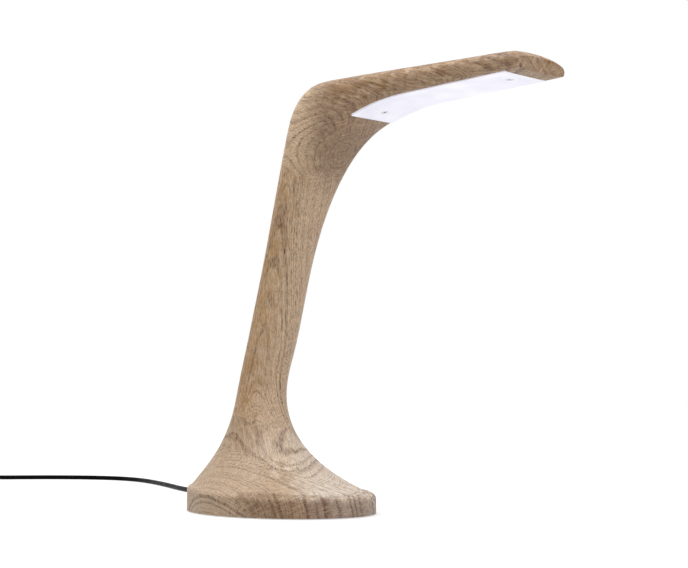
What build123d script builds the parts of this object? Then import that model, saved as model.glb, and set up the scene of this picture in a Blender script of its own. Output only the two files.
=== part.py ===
from build123d import *
from math import asin, cos, degrees, pi, radians, sin, tan
import os

# Desk lamp carved from oak. X runs along the arm, Z is up, the foot's centre stands on the table at
# the origin. All sizes are in millimetres.

# Foot
foot_length = 220.0
foot_width = 170.0
foot_height_rear = 28.5
foot_height_front = 19.5
foot_lift = 1.0
rim_round = 6.0

# Flare from the foot's rim into the neck
flare_rear_z = 27.0
flare_front_z = 18.5
flare_inset_rear = 3.5
flare_inset_side = 4.5
flare_inset_front = 5.0
rear_flare_angle = 50.0
rear_flare_low = 46.0
rear_flare_high = 61.0
side_flare_angle = 49.0
side_flare_low = 55.0
side_flare_high = 45.0
front_flare_angle = 15.0
front_flare_low = 115.0
front_flare_high = 10.0

# Neck
neck_radius = 24.8
neck_lean = 18.0
neck_start_x = -29.0
neck_start_z = 127.0
neck_end_z = 200.0

# Elbow and arm
arm_length = 346.5
arm_width = 70.0
arm_start_x = 205.0
arm_start_top = 422.0
arm_tip_top = 413.0
underside_z = 394.0
elbow_radius = 51.0
elbow_inner_low = 44.0
elbow_inner_high = 96.0
elbow_widening = (0.10, 0.85)
elbow_flattening = (0.0, 0.62)
top_fullness = 0.70
underside_fullness = 0.97
widest_level = 0.42
tip_round = 18.0
tip_narrowing = 3.0
tip_top_drop = 6.0
tip_underside_rise = 0.0
round_fullness = 0.5523

# Glued joint between neck and arm
joint_z = 366.0
dowel_radius = 4.0
dowel_length = 40.0
dowel_spacing = 26.0
glue_gap = 0.1

# Light panel in the curved underside
panel_width = 54.0
panel_tip_x = 329.0
panel_elbow_x = 136.5
panel_bend_radius = 242.0
panel_gap = 0.6
diffuser_thickness = 3.0
recess_depth = 11.0
heat_sink_thickness = 1.5
strip_thickness = 1.0
strip_width = 12.0
strip_spacing = 28.0
strip_end_margin = 12.0
chip_length = 3.5
chip_width = 2.8
chip_height = 0.7
chip_pitch = 14.0
panel_screw_margin = 18.0
panel_screw_head_radius = 4.0
panel_screw_radius = 1.75
panel_screw_length = 15.0
spacer_radius = 3.0
seat_gap = 0.03
sink_screw_head_radius = 2.8
sink_screw_radius = 1.25
sink_screw_length = 6.0
sink_screw_margin = 7.0
sink_screw_spacing = 42.0
connector_length = 9.0
connector_width = 8.0
connector_height = 4.0
connector_margin = 2.5

# Wire bore and leads
bore_radius = 4.5
lead_radius = 0.9
lead_spacing = 2.6
lead_elbow_radius = 12.0
lead_exit_y = -4.0

# Base plate, its screws and the felt pad
plate_margin = 18.0
plate_thickness = 4.0
pad_thickness = 2.0
fit_gap = 0.3
screw_gap = 0.05
base_screw_radius = 2.0
base_screw_head_radius = 4.0
base_screw_length = 14.0
base_screw_margin = 10.0
base_screw_angle = 40.0

# Hollow in the foot
hollow_length = 100.0
hollow_width = 60.0
hollow_centre_x = -30.0
hollow_height = 20.0
hollow_corner = 8.0

# Cord, its sleeve and its clamp
cord_diameter = 5.8
cord_hole_z = 12.0
sleeve_radius = 3.9
sleeve_hole_gap = 0.1
sleeve_flange_radius = 6.5
sleeve_flange_thickness = 2.0
sleeve_tail_length = 22.0
sleeve_tail_radius = 5.0
sleeve_tip_radius = 3.8
cord_gap = 0.05
clamp_length = 8.0
clamp_width = 28.0
clamp_height = 12.0
clamp_x = -74.0
clamp_screw_spacing = 20.0
clamp_screw_radius = 1.5
clamp_screw_head_radius = 2.75
clamp_screw_head_height = 2.0
clamp_screw_bite = 3.0
core_radius = 1.1
core_spacing = 2.6
cord_inner_end_x = -66.0

# Terminal block and LED driver
block_length = 14.0
block_width = 16.0
block_height = 11.0
block_x = -52.0
block_y = 13.0
block_pole_spacing = 8.0
block_screw_radius = 2.0
block_well_depth = 4.0
driver_length = 52.0
driver_width = 40.0
driver_height = 16.0
driver_wall = 1.5
driver_x = -12.0
driver_lid_thickness = 1.5
driver_lid_lip = 1.2
tape_thickness = 0.8
board_thickness = 1.6
board_post_height = 2.0
board_gap = 0.5
board_post_radius = 2.0
transformer_size = (15.0, 13.0, 8.0)
capacitor_radius = 3.5
capacitor_length = 13.0
coil_radius = 4.0
coil_height = 6.0

# Inline switch
switch_x = -731.5
switch_y = -45.0
switch_length = 62.0
switch_width = 26.0
switch_corner = 9.0
switch_base_height = 8.0
switch_cover_height = 9.0
switch_wall = 1.8
switch_edge_round = 2.5
cord_entry_z = 8.0
rocker_length = 19.0
rocker_width = 12.6
rocker_gap = 0.5
rocker_pivot_z = 13.6
rocker_rise = 3.6
rocker_dish = 1.2
rocker_depth = 1.6
rocker_leg_length = 5.1
rocker_leg_width = 2.4
rocker_tilt = 9.0
axle_radius = 1.2
axle_length = 1.4
axle_gap = 0.1
contact_pivot_z = 6.2
contact_length = 21.0
contact_width = 4.0
contact_thickness = 0.8
contact_tilt = 5.5
contact_post_radius = 0.8
contact_gap = 0.35
terminal_length = 6.0
terminal_width = 6.0
terminal_height = 4.0
terminal_x = 12.0
bypass_y = 5.3
bypass_z = 3.4
terminal_core_z = 4.4
switch_clamp_x = 24.0
switch_clamp_length = 4.0
switch_clamp_width = 15.0
switch_clamp_height = 2.0
switch_clamp_screw_radius = 1.0
switch_clamp_screw_spacing = 11.0
switch_clamp_screw_head = 1.7
switch_screw_x = 17.0
switch_screw_y = 9.0
switch_screw_radius = 1.25
switch_screw_head_radius = 2.3
switch_screw_head_height = 1.4
switch_boss_radius = 2.6

# Put-away coil and its tie
coil_centre_y = -152.0
coil_inner_turn = 31.0
coil_columns = 2
coil_layers = 2
coil_lift = 0.6
coil_slack = 0.2
coil_edge_round = 2.5
coil_stub_length = 24.0
cord_end_run = 16.0
tie_width = 6.0
tie_thickness = 0.5
tie_gap = 0.05
tie_angle = 215.0

# Flat two-pin plug
plug_x = -651.0
plug_y = -60.0
plug_width = 35.0
plug_length = 34.0
plug_thickness = 14.0
plug_rear_width = 13.0
plug_shoulder = 12.0
plug_corner = 3.0
plug_edge_round = 2.0
plug_boot_length = 16.0
plug_boot_radius = 4.4
plug_boot_tip_radius = 3.5
pin_radius = 2.0
pin_length = 19.0
pin_spacing = 18.6
pin_root = 6.0
pin_root_radius = 1.6
pin_chamfer = 0.5

# Cord routes on the table, corner points in order
cord_floor_z = cord_diameter / 2 + 0.05
sleeve_end_x = -foot_length / 2 - sleeve_tail_length
switch_route = [
    (sleeve_end_x, 0, cord_hole_z),
    (sleeve_end_x - 20, 0, cord_hole_z),
    (-172, 11.5, 8.2),
    (-190, 32, 4.2),
    (-214, 58, cord_floor_z),
    (-248, 84, cord_floor_z),
    (-288, 102, cord_floor_z),
    (-336, 118, cord_floor_z),
    (-388, 140, cord_floor_z),
    (-438, 159, cord_floor_z),
    (-486, 175, cord_floor_z),
    (-530, 184, cord_floor_z),
    (-572, 182, cord_floor_z),
    (-611, 166, cord_floor_z),
    (-646, 139, cord_floor_z),
    (-676, 106, cord_floor_z),
    (-702, 70, cord_floor_z),
    (-721, 36, 4.4),
    (switch_x, switch_y + switch_length / 2 + 20, cord_entry_z),
    (switch_x, switch_y + switch_length / 2, cord_entry_z),
]
coil_outer_turn = coil_inner_turn + cord_diameter * (coil_columns - 1)
coil_centre_x = switch_x + coil_outer_turn
coil_start_y = coil_centre_y + coil_stub_length
coil_low_z = coil_lift + coil_slack + cord_diameter / 2
coil_high_z = coil_low_z + cord_diameter * (coil_layers - 1)
coil_left_x = coil_centre_x - coil_outer_turn
coil_right_x = coil_centre_x + coil_outer_turn
plug_boot_y = plug_y - plug_boot_length
plug_route = [
    (switch_x, switch_y - switch_length / 2, cord_entry_z),
    (switch_x, switch_y - switch_length / 2 - cord_end_run, cord_entry_z),
    (coil_left_x, coil_start_y + cord_end_run, coil_low_z),
    (coil_left_x, coil_start_y, coil_low_z),
]
tail_route = [
    (coil_right_x, coil_start_y, coil_high_z),
    (coil_right_x, coil_start_y + cord_end_run, coil_high_z),
    (plug_x, plug_boot_y - cord_end_run, plug_thickness / 2),
    (plug_x, plug_boot_y, plug_thickness / 2),
]

# Values that follow from the sizes above
neck_rise = tan(radians(neck_lean))
neck_axis = Vector(sin(radians(neck_lean)), 0, cos(radians(neck_lean)))
neck_half_length = neck_radius / cos(radians(neck_lean))
plate_bottom = pad_thickness
plate_top = plate_bottom + plate_thickness
plate_a = foot_length / 2 - plate_margin
plate_b = foot_width / 2 - plate_margin
panel_straight = panel_tip_x - arm_start_x
panel_arc = panel_bend_radius * asin((arm_start_x - panel_elbow_x) / panel_bend_radius)
panel_length = panel_straight + panel_arc
strip_depth = recess_depth - heat_sink_thickness
spacer_length = strip_depth - diffuser_thickness - seat_gap


def neck_point(z, offset=0.0):
    """Point on the neck's centre line at a height, moved along X by offset."""
    return Vector(neck_start_x + neck_rise * (z - neck_start_z) + offset, 0, z)


def smooth(share):
    """Ease from 0 to 1 with level ends."""
    return share * share * (3 - 2 * share)


def within(share, zone):
    """How far a share has come through a zone, 0 before it and 1 after it."""
    return min(1, max(0, (share - zone[0]) / (zone[1] - zone[0])))


def point_along(edges, share):
    """Point at a share of the whole length of edges that follow each other."""
    distance = share * sum(edge.length for edge in edges)
    for edge in edges[:-1]:
        if distance <= edge.length:
            return edge.position_at(distance, PositionMode.LENGTH)
        distance -= edge.length
    return edges[-1].position_at(min(distance, edges[-1].length), PositionMode.LENGTH)


def light_point(distance, depth):
    """X and Z of a point on the light's curved line, distance from its tip end, depth into the arm."""
    if distance <= panel_straight:
        return panel_tip_x - distance, underside_z + depth
    turn = (distance - panel_straight) / panel_bend_radius
    reach = panel_bend_radius + depth
    return arm_start_x - reach * sin(turn), underside_z - panel_bend_radius + reach * cos(turn)


def light_plane(distance, depth, y=0.0):
    """Plane on the light's line: local X to the tip, local Z into the arm."""
    turn = max(distance - panel_straight, 0) / panel_bend_radius
    x, z = light_point(distance, depth)
    return Plane(origin=(x, y, z), x_dir=(cos(turn), 0, sin(turn)), z_dir=(-sin(turn), 0, cos(turn)))


def light_band(near, far, low, high, y=0.0):
    """Side face of a layer of the light, from near to far along it and from low to high in depth."""
    middle = (panel_straight + far) / 2
    with BuildSketch(Plane.XZ.offset(-y)) as band:
        with BuildLine():
            Line(light_point(near, low), light_point(panel_straight, low))
            ThreePointArc(light_point(panel_straight, low), light_point(middle, low), light_point(far, low))
            Line(light_point(far, low), light_point(far, high))
            ThreePointArc(
                light_point(far, high), light_point(middle, high), light_point(panel_straight, high)
            )
            Line(light_point(panel_straight, high), light_point(near, high))
            Line(light_point(near, high), light_point(near, low))
        make_face()
    return band.sketch


def corner_radii(route):
    """Arc radius at each inner point: 0.45 of the shorter run over the tangent of half the turn."""
    points = [Vector(*point) for point in route]
    radii = []
    for before, here, after in zip(points, points[1:], points[2:]):
        turn = radians((here - before).get_angle(after - here))
        shorter = min((here - before).length, (after - here).length)
        radii.append(0.45 * shorter / tan(turn / 2))
    return radii


def tube(name, route, radius, radii=None):
    """Round tube along straight runs joined by tangent arcs."""
    arcs = radii or corner_radii(route)
    with BuildPart() as piece:
        with BuildLine() as path:
            FilletPolyline(*route, radius=arcs)
        start = path.wires()[0]
        with BuildSketch(Plane(origin=route[0], z_dir=Vector(*route[1]) - Vector(*route[0]))):
            Circle(radius)
        sweep(path=start)
    share = piece.part.volume / (pi * radius**2 * start.length)
    rounded = [round(value, 1) for value in arcs]
    print(f"{name}: length {start.length:.1f}, volume over section times length {share:.4f}, radii {rounded}")
    return piece.part


def countersunk_screw(head_radius, shank_radius, length, socket=0.0):
    """Countersunk screw, head face at Z 0, shank going up."""
    head_height = head_radius - shank_radius
    with BuildPart() as screw:
        with BuildSketch(Plane.XZ):
            with BuildLine():
                Polyline(
                    (0, 0),
                    (head_radius, 0),
                    (shank_radius, head_height),
                    (shank_radius, length - shank_radius),
                    (0, length),
                    close=True,
                )
            make_face()
        revolve(axis=Axis.Z)
        if socket:
            with BuildSketch(Plane.XY):
                RegularPolygon(socket, 6)
            extrude(amount=head_height * 0.6, mode=Mode.SUBTRACT)
    return screw.part


def cheese_screw(head_radius, head_height, shank_radius, length):
    """Screw with a flat slotted head, underside of the head at Z 0, shank going down."""
    with BuildPart() as screw:
        with BuildSketch(Plane.XY):
            Circle(head_radius)
        extrude(amount=head_height)
        with BuildSketch(Plane.XY):
            Circle(shank_radius)
        extrude(amount=-length)
        with BuildSketch(Plane.XY.offset(head_height)):
            Rectangle(head_radius * 2, head_radius * 0.35)
        extrude(amount=-head_height * 0.5, mode=Mode.SUBTRACT)
    return screw.part


def save(part, name):
    """Label a finished piece and write it."""
    part.label = name
    export_step(part, f"parts/{name}.step")


os.makedirs("parts", exist_ok=True)

# Body: the rear and front edges of its side view, and the sections between them
neck_low_rear = neck_point(neck_start_z, -neck_half_length)
neck_low_front = neck_point(neck_start_z, neck_half_length)
neck_high_rear = neck_point(neck_end_z, -neck_half_length)
neck_high_front = neck_point(neck_end_z, neck_half_length)
arm_start_over = Vector(arm_start_x, 0, arm_start_top)
arm_tip_over = Vector(arm_length, 0, arm_tip_top)
arm_slope = (arm_tip_over - arm_start_over).normalized()
bend_turn = panel_arc / panel_bend_radius
bend_end = Vector(light_point(panel_length, 0)[0], 0, light_point(panel_length, 0)[1])
bend_middle = light_point(panel_straight + panel_arc / 2, 0)


def handle(start, angle, length, side):
    """Point at a length from start, at an angle above level, towards side 1 or -1 in X."""
    return start + Vector(side * cos(radians(angle)), 0, sin(radians(angle))) * length


def rear_corner():
    """Point where the neck's rear line meets the line of the arm's top."""
    rise = arm_start_over.Z - neck_high_rear.Z
    slope = arm_slope.Z / arm_slope.X
    run = arm_start_over.X - neck_high_rear.X
    climb = (rise - slope * run) / (1 - slope * neck_rise)
    return neck_high_rear + Vector(neck_rise * climb, 0, climb)


def body_edges():
    """Edge groups of the side view, as (rear, front) for flare, neck, elbow and arm."""
    rear_foot = Vector(-foot_length / 2 + flare_inset_rear, 0, flare_rear_z)
    front_foot = Vector(foot_length / 2 - flare_inset_front, 0, flare_front_z)
    with BuildLine() as edges:
        rear_flare = Bezier(
            rear_foot,
            handle(rear_foot, rear_flare_angle, rear_flare_low, 1),
            neck_low_rear - neck_axis * rear_flare_high,
            neck_low_rear,
        )
        front_flare = Bezier(
            front_foot,
            handle(front_foot, front_flare_angle, front_flare_low, -1),
            neck_low_front - neck_axis * front_flare_high,
            neck_low_front,
        )
        rear_neck = Line(neck_low_rear, neck_high_rear)
        front_neck = Line(neck_low_front, neck_high_front)
        rear_elbow = FilletPolyline(neck_high_rear, rear_corner(), arm_start_over, radius=elbow_radius)
        bend_direction = Vector(cos(bend_turn), 0, sin(bend_turn))
        front_elbow = Bezier(
            neck_high_front,
            neck_high_front + neck_axis * elbow_inner_low,
            bend_end - bend_direction * elbow_inner_high,
            bend_end,
        )
        underside_bend = ThreePointArc(
            bend_end,
            (bend_middle[0], 0, bend_middle[1]),
            (arm_start_x, 0, underside_z),
        )
    return [
        ([rear_flare.edge()], [front_flare.edge()]),
        ([rear_neck.edge()], [front_neck.edge()]),
        (list(rear_elbow.edges()), [front_elbow.edge(), underside_bend.edge()]),
    ]


def body_section(
    over, under, half_width, over_fullness=round_fullness, under_fullness=round_fullness, level=0.5
):
    """Closed section in the plane through two points and the Y direction."""
    centre = under + (over - under) * level
    up = (over - centre).length
    down = (centre - under).length
    outward = (over - under).normalized()
    plane = Plane(origin=centre, x_dir=(0, 1, 0), z_dir=Vector(0, 1, 0).cross(outward))
    side = half_width
    with BuildSketch(plane) as section:
        with BuildLine():
            for end, height, fullness in ((side, up, over_fullness), (-side, -down, under_fullness)):
                full_end = end * fullness
                Bezier((end, 0), (end, height * fullness), (full_end, height), (0, height))
                Bezier((0, height), (-full_end, height), (-end, height * fullness), (-end, 0))
        make_face()
    return section.sketch.faces()[0]


def body_sections():
    """Sections from the foot's rim to the arm's tip."""
    flare, neck, elbow = body_edges()
    side_start = Vector(foot_width / 2 - flare_inset_side, 0, (flare_rear_z + flare_front_z) / 2)
    side_end = Vector(neck_radius, 0, neck_start_z)
    with BuildLine() as side:
        Bezier(
            side_start,
            handle(side_start, side_flare_angle, side_flare_low, -1),
            side_end - Vector(0, 0, side_flare_high),
            side_end,
        )
    sections = []
    flare_steps = 8
    for step in range(flare_steps):
        share = step / flare_steps
        half_width = point_along([side.edge()], share).X
        sections.append(body_section(point_along(flare[0], share), point_along(flare[1], share), half_width))
    neck_steps = 2
    for step in range(neck_steps):
        share = step / neck_steps
        sections.append(body_section(point_along(neck[0], share), point_along(neck[1], share), neck_radius))
    elbow_steps = 14
    for step in range(elbow_steps + 1):
        share = step / elbow_steps
        width_share = smooth(within(share, elbow_widening))
        flat_share = smooth(within(share, elbow_flattening))
        half_width = neck_radius + (arm_width / 2 - neck_radius) * width_share
        over_fullness = round_fullness + (top_fullness - round_fullness) * width_share
        under_fullness = round_fullness + (underside_fullness - round_fullness) * flat_share
        level = 0.5 + (widest_level - 0.5) * smooth(share)
        over = point_along(elbow[0], share)
        under = point_along(elbow[1], share)
        sections.append(body_section(over, under, half_width, over_fullness, under_fullness, level))
    arm_steps = 4
    straight = arm_length - tip_round - arm_start_x
    reaches = [arm_start_x + straight * step / arm_steps for step in range(1, arm_steps + 1)]
    reaches += [arm_length - tip_round * share for share in (0.66, 0.38, 0.17, 0.05, 0)]
    for reach in reaches:
        closeness = max(0, 1 - (arm_length - reach) / tip_round) ** 2.5
        share = (reach - arm_start_x) / (arm_length - arm_start_x)
        over_z = arm_start_top + (arm_tip_top - arm_start_top) * share
        over = Vector(reach, 0, over_z - tip_top_drop * closeness)
        under = Vector(reach, 0, underside_z + tip_underside_rise * closeness)
        half_width = arm_width / 2 - tip_narrowing * closeness
        sections.append(body_section(over, under, half_width, top_fullness, underside_fullness, widest_level))
    return sections


blank_sections = body_sections()
with BuildPart() as blank:
    loft(sections=blank_sections)

joint_plane = Plane(origin=neck_point(joint_z), x_dir=(0, 1, 0), z_dir=neck_axis)
hollow_top = plate_top + hollow_height
bore_top = Vector(neck_point(underside_z - 5).X, 0, underside_z - 5)
arm_bore_mouth = light_point(panel_length + panel_gap, recess_depth * 0.6)
base_screw_spots = [
    ((plate_a - base_screw_margin) * cos(radians(angle)), (plate_b - base_screw_margin) * sin(radians(angle)))
    for angle in (
        base_screw_angle,
        90,
        180 - base_screw_angle,
        180 + base_screw_angle,
        270,
        360 - base_screw_angle,
    )
]


def straight_bore(start, end, radius):
    """Solid of a round bore between two points."""
    with BuildPart() as bore:
        with BuildSketch(Plane(origin=start, z_dir=end - start)):
            Circle(radius)
        extrude(amount=(end - start).length)
    return bore.part


neck_bore = straight_bore(neck_point(hollow_top - 4), bore_top, bore_radius)
mouth = Vector(arm_bore_mouth[0] + 4, 0, arm_bore_mouth[1])
arm_bore = straight_bore(bore_top, mouth, bore_radius)

# Stem: foot and neck, the foot's rim a little higher at the rear
foot_top = Plane(
    origin=(0, 0, (foot_height_rear + foot_height_front) / 2),
    z_dir=(foot_height_rear - foot_height_front, 0, foot_length),
)
with BuildPart() as stem:
    with BuildSketch(Plane.XY.offset(foot_lift)):
        Ellipse(foot_length / 2, foot_width / 2)
    extrude(amount=foot_height_rear)
    split(bisect_by=foot_top, keep=Keep.BOTTOM)
    fillet(stem.faces().sort_by(Axis.Z)[-1].edges(), radius=rim_round)
    add(blank.part)
    split(bisect_by=joint_plane, keep=Keep.BOTTOM)
    with BuildSketch(Plane.XY):
        Ellipse(plate_a + fit_gap, plate_b + fit_gap)
    extrude(amount=plate_top, mode=Mode.SUBTRACT)
    with BuildSketch(Plane.XY.offset(plate_top)):
        with Locations((hollow_centre_x, 0)):
            RectangleRounded(hollow_length, hollow_width, hollow_corner)
    extrude(amount=hollow_height, mode=Mode.SUBTRACT)
    add(neck_bore, mode=Mode.SUBTRACT)
    with BuildSketch(joint_plane):
        with GridLocations(dowel_spacing, 0, 2, 1):
            Circle(dowel_radius + glue_gap)
    extrude(amount=-dowel_length / 2 - 1, mode=Mode.SUBTRACT)
    with BuildSketch(Plane.YZ.offset(-foot_length / 2 - 1)):
        with Locations((0, cord_hole_z)):
            Circle(sleeve_radius + sleeve_hole_gap)
    extrude(amount=foot_length / 2 + hollow_centre_x - hollow_length / 2 + 2, mode=Mode.SUBTRACT)
    with BuildSketch(Plane.YZ.offset(-foot_length / 2 - 1)):
        with Locations((0, cord_hole_z)):
            Circle(sleeve_flange_radius + sleeve_hole_gap)
    extrude(amount=1 + sleeve_flange_thickness, mode=Mode.SUBTRACT)
    with BuildSketch(Plane.XY.offset(plate_top)):
        with Locations(*base_screw_spots):
            Circle(base_screw_radius + screw_gap)
    extrude(amount=base_screw_length - plate_thickness + 1, mode=Mode.SUBTRACT)
save(stem.part, "stem")

# Arm: elbow and arm, with the recess for the light and the end of the wire bore
panel_screw_spots = (panel_screw_margin, panel_length - panel_screw_margin)
sink_screw_spots = [
    (distance, side * sink_screw_spacing / 2)
    for distance in (sink_screw_margin, panel_length - sink_screw_margin)
    for side in (-1, 1)
]
with BuildPart() as arm:
    add(blank.part)
    split(bisect_by=joint_plane, keep=Keep.TOP)
    recess = light_band(-panel_gap, panel_length + panel_gap, -4, recess_depth)
    extrude(recess, amount=panel_width / 2 + panel_gap, both=True, mode=Mode.SUBTRACT)
    add(neck_bore, mode=Mode.SUBTRACT)
    add(arm_bore, mode=Mode.SUBTRACT)
    with Locations(bore_top):
        Sphere(bore_radius, mode=Mode.SUBTRACT)
    with BuildSketch(joint_plane):
        with GridLocations(dowel_spacing, 0, 2, 1):
            Circle(dowel_radius + glue_gap)
    extrude(amount=dowel_length / 2 + 1, mode=Mode.SUBTRACT)
    for distance in panel_screw_spots:
        with BuildSketch(light_plane(distance, strip_depth)):
            Circle(panel_screw_radius + screw_gap)
        extrude(amount=panel_screw_length - strip_depth + screw_gap, mode=Mode.SUBTRACT)
    for distance, side in sink_screw_spots:
        with BuildSketch(light_plane(distance, strip_depth, side)):
            Circle(sink_screw_radius + screw_gap)
        extrude(amount=sink_screw_length + screw_gap, mode=Mode.SUBTRACT)
save(arm.part, "arm")

# Dowels in the glued joint
with BuildPart() as joint_dowels:
    with BuildSketch(joint_plane):
        with GridLocations(dowel_spacing, 0, 2, 1):
            Circle(dowel_radius)
    extrude(amount=dowel_length / 2, both=True)
    chamfer(joint_dowels.edges().filter_by(GeomType.CIRCLE), length=dowel_radius / 5)
save(joint_dowels.part, "joint_dowels")

# Base plate, its screws and the felt pad
clamp_screw_spots = [(clamp_x, side * clamp_screw_spacing / 2) for side in (-1, 1)]
with BuildPart() as base_plate:
    with BuildSketch(Plane.XY.offset(plate_bottom)):
        Ellipse(plate_a, plate_b)
    extrude(amount=plate_thickness)
    for x, y in base_screw_spots:
        with Locations(Plane(origin=(x, y, plate_bottom), z_dir=(0, 0, -1))):
            CounterSinkHole(
                base_screw_radius + screw_gap, base_screw_head_radius + screw_gap, plate_thickness, 90
            )
    with BuildSketch(Plane.XY.offset(plate_top)):
        with Locations(*clamp_screw_spots):
            Circle(clamp_screw_radius + screw_gap)
    extrude(amount=-clamp_screw_bite - screw_gap, mode=Mode.SUBTRACT)
save(base_plate.part, "base_plate")

base_screw = countersunk_screw(base_screw_head_radius, base_screw_radius, base_screw_length, socket=1.6)
with BuildPart() as base_screws:
    with Locations(*[(x, y, plate_bottom) for x, y in base_screw_spots]):
        add(base_screw)
save(base_screws.part, "base_screws")

with BuildPart() as foot_pad:
    with BuildSketch(Plane.XY):
        Ellipse(plate_a, plate_b)
    extrude(amount=pad_thickness)
save(foot_pad.part, "foot_pad")

# Rubber sleeve around the cord in the rear wall of the foot
hollow_rear_x = hollow_centre_x - hollow_length / 2
flange_inner_x = -foot_length / 2 + sleeve_flange_thickness
with BuildPart() as cord_sleeve:
    with BuildSketch(Plane.XY.offset(cord_hole_z)):
        with BuildLine():
            Polyline(
                (hollow_rear_x - 1, 0),
                (hollow_rear_x - 1, sleeve_radius),
                (flange_inner_x, sleeve_radius),
                (flange_inner_x, sleeve_flange_radius),
                (-foot_length / 2, sleeve_flange_radius),
                (-foot_length / 2, sleeve_tail_radius),
                (sleeve_end_x, sleeve_tip_radius),
                (sleeve_end_x, 0),
                close=True,
            )
        make_face()
    revolve(axis=Axis((0, 0, cord_hole_z), (1, 0, 0)))
    with BuildSketch(Plane.YZ.offset(sleeve_end_x)):
        with Locations((0, cord_hole_z)):
            Circle(cord_diameter / 2 + cord_gap)
    extrude(amount=sleeve_tail_length + foot_length, mode=Mode.SUBTRACT)
save(cord_sleeve.part, "cord_sleeve")

# The cord inside the sleeve and the foot, and its two cores
with BuildPart() as cord_inner:
    with BuildSketch(Plane.YZ.offset(sleeve_end_x)):
        with Locations((0, cord_hole_z)):
            Circle(cord_diameter / 2)
    extrude(amount=cord_inner_end_x - sleeve_end_x)
save(cord_inner.part, "cord_inner")

block_rear_x = block_x - block_length / 2
core_y = (block_y - block_pole_spacing / 2, block_y + block_pole_spacing / 2)


def cord_core(side, pole_y):
    """One core of the cord, from the sheath's end to its pole of the terminal block."""
    route = [
        (cord_inner_end_x, side * core_spacing / 2, cord_hole_z),
        (cord_inner_end_x + 2, side * core_spacing / 2, cord_hole_z),
        (block_rear_x - 1.5, pole_y, cord_hole_z),
        (block_rear_x, pole_y, cord_hole_z),
    ]
    return tube("cord core", route, core_radius, [1.2, 1.2])


cores = [cord_core(side, pole_y) for side, pole_y in zip((-1, 1), core_y)]
with BuildPart() as cord_cores:
    add(cores)
save(cord_cores.part, "cord_cores")

# Clamp that holds the cord on the base plate
with BuildPart() as cord_clamp:
    with BuildSketch(Plane.XY.offset(plate_top)):
        with Locations((clamp_x, 0)):
            RectangleRounded(clamp_length, clamp_width, 1.5)
    extrude(amount=clamp_height)
    with BuildSketch(Plane.YZ.offset(clamp_x - clamp_length)):
        with Locations((0, cord_hole_z)):
            Circle(cord_diameter / 2)
    extrude(amount=2 * clamp_length, mode=Mode.SUBTRACT)
    with BuildSketch(Plane.XY.offset(plate_top)):
        with Locations(*clamp_screw_spots):
            Circle(clamp_screw_radius + screw_gap)
    extrude(amount=clamp_height, mode=Mode.SUBTRACT)
save(cord_clamp.part, "cord_clamp")

clamp_screw = cheese_screw(
    clamp_screw_head_radius, clamp_screw_head_height, clamp_screw_radius, clamp_height + clamp_screw_bite
)
with BuildPart() as clamp_screws:
    with Locations(*[(x, y, plate_top + clamp_height) for x, y in clamp_screw_spots]):
        add(clamp_screw)
save(clamp_screws.part, "clamp_screws")

# Two-pole terminal block
block_poles = [(block_x, block_y + side * block_pole_spacing / 2) for side in (-1, 1)]
with BuildPart() as terminal_block:
    with BuildSketch(Plane.XY.offset(plate_top)):
        with Locations((block_x, block_y)):
            RectangleRounded(block_length, block_width, 1.0)
    extrude(amount=block_height)
    with BuildSketch(Plane.XY.offset(plate_top + block_height)):
        with Locations(*block_poles):
            Circle(block_screw_radius + screw_gap)
    extrude(amount=-block_well_depth, mode=Mode.SUBTRACT)
save(terminal_block.part, "terminal_block")

block_screw = cheese_screw(block_screw_radius, 1.2, block_screw_radius / 2, 1.0)
with BuildPart() as terminal_screws:
    with Locations(*[(x, y, plate_top + block_height - block_well_depth + 1.0) for x, y in block_poles]):
        add(block_screw)
save(terminal_screws.part, "terminal_screws")

# LED driver: tape, case, board with its components, lid
tape_top = plate_top + tape_thickness
case_top = tape_top + driver_height
board_z = tape_top + driver_wall + board_post_height
board_length = driver_length - 2 * driver_wall - 2 * board_gap
board_width = driver_width - 2 * driver_wall - 2 * board_gap
driver_rear_x = driver_x - driver_length / 2
lead_exit_z = tape_top + driver_height - 4.0
driver_lead_z = board_z + 4.0
with BuildPart() as driver_tape:
    with BuildSketch(Plane.XY.offset(plate_top)):
        with Locations((driver_x, 0)):
            Rectangle(driver_length - 8, driver_width - 8)
    extrude(amount=tape_thickness)
save(driver_tape.part, "driver_tape")

with BuildPart() as driver_case:
    with BuildSketch(Plane.XY.offset(tape_top)):
        with Locations((driver_x, 0)):
            RectangleRounded(driver_length, driver_width, 2.5)
    extrude(amount=driver_height)
    with BuildSketch(Plane.XY.offset(tape_top + driver_wall)):
        with Locations((driver_x, 0)):
            RectangleRounded(driver_length - 2 * driver_wall, driver_width - 2 * driver_wall, 1.0)
    extrude(amount=driver_height, mode=Mode.SUBTRACT)
    with BuildSketch(Plane.XY.offset(tape_top + driver_wall)):
        with Locations((driver_x, 0)):
            with GridLocations(board_length - 10, board_width - 10, 2, 2):
                Circle(board_post_radius)
    extrude(amount=board_post_height)
    with BuildSketch(Plane.YZ.offset(driver_rear_x - 1)):
        for side in (-1, 1):
            with Locations((lead_exit_y + side * lead_spacing / 2, lead_exit_z)):
                Circle(lead_radius + screw_gap)
        for _, pole_y in block_poles:
            with Locations((pole_y, driver_lead_z)):
                Circle(core_radius + screw_gap)
    extrude(amount=driver_wall + 2, mode=Mode.SUBTRACT)
save(driver_case.part, "driver_case")

with BuildPart() as driver_board:
    with BuildSketch(Plane.XY.offset(board_z)):
        with Locations((driver_x, 0)):
            Rectangle(board_length, board_width)
    extrude(amount=board_thickness)
save(driver_board.part, "driver_board")

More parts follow.
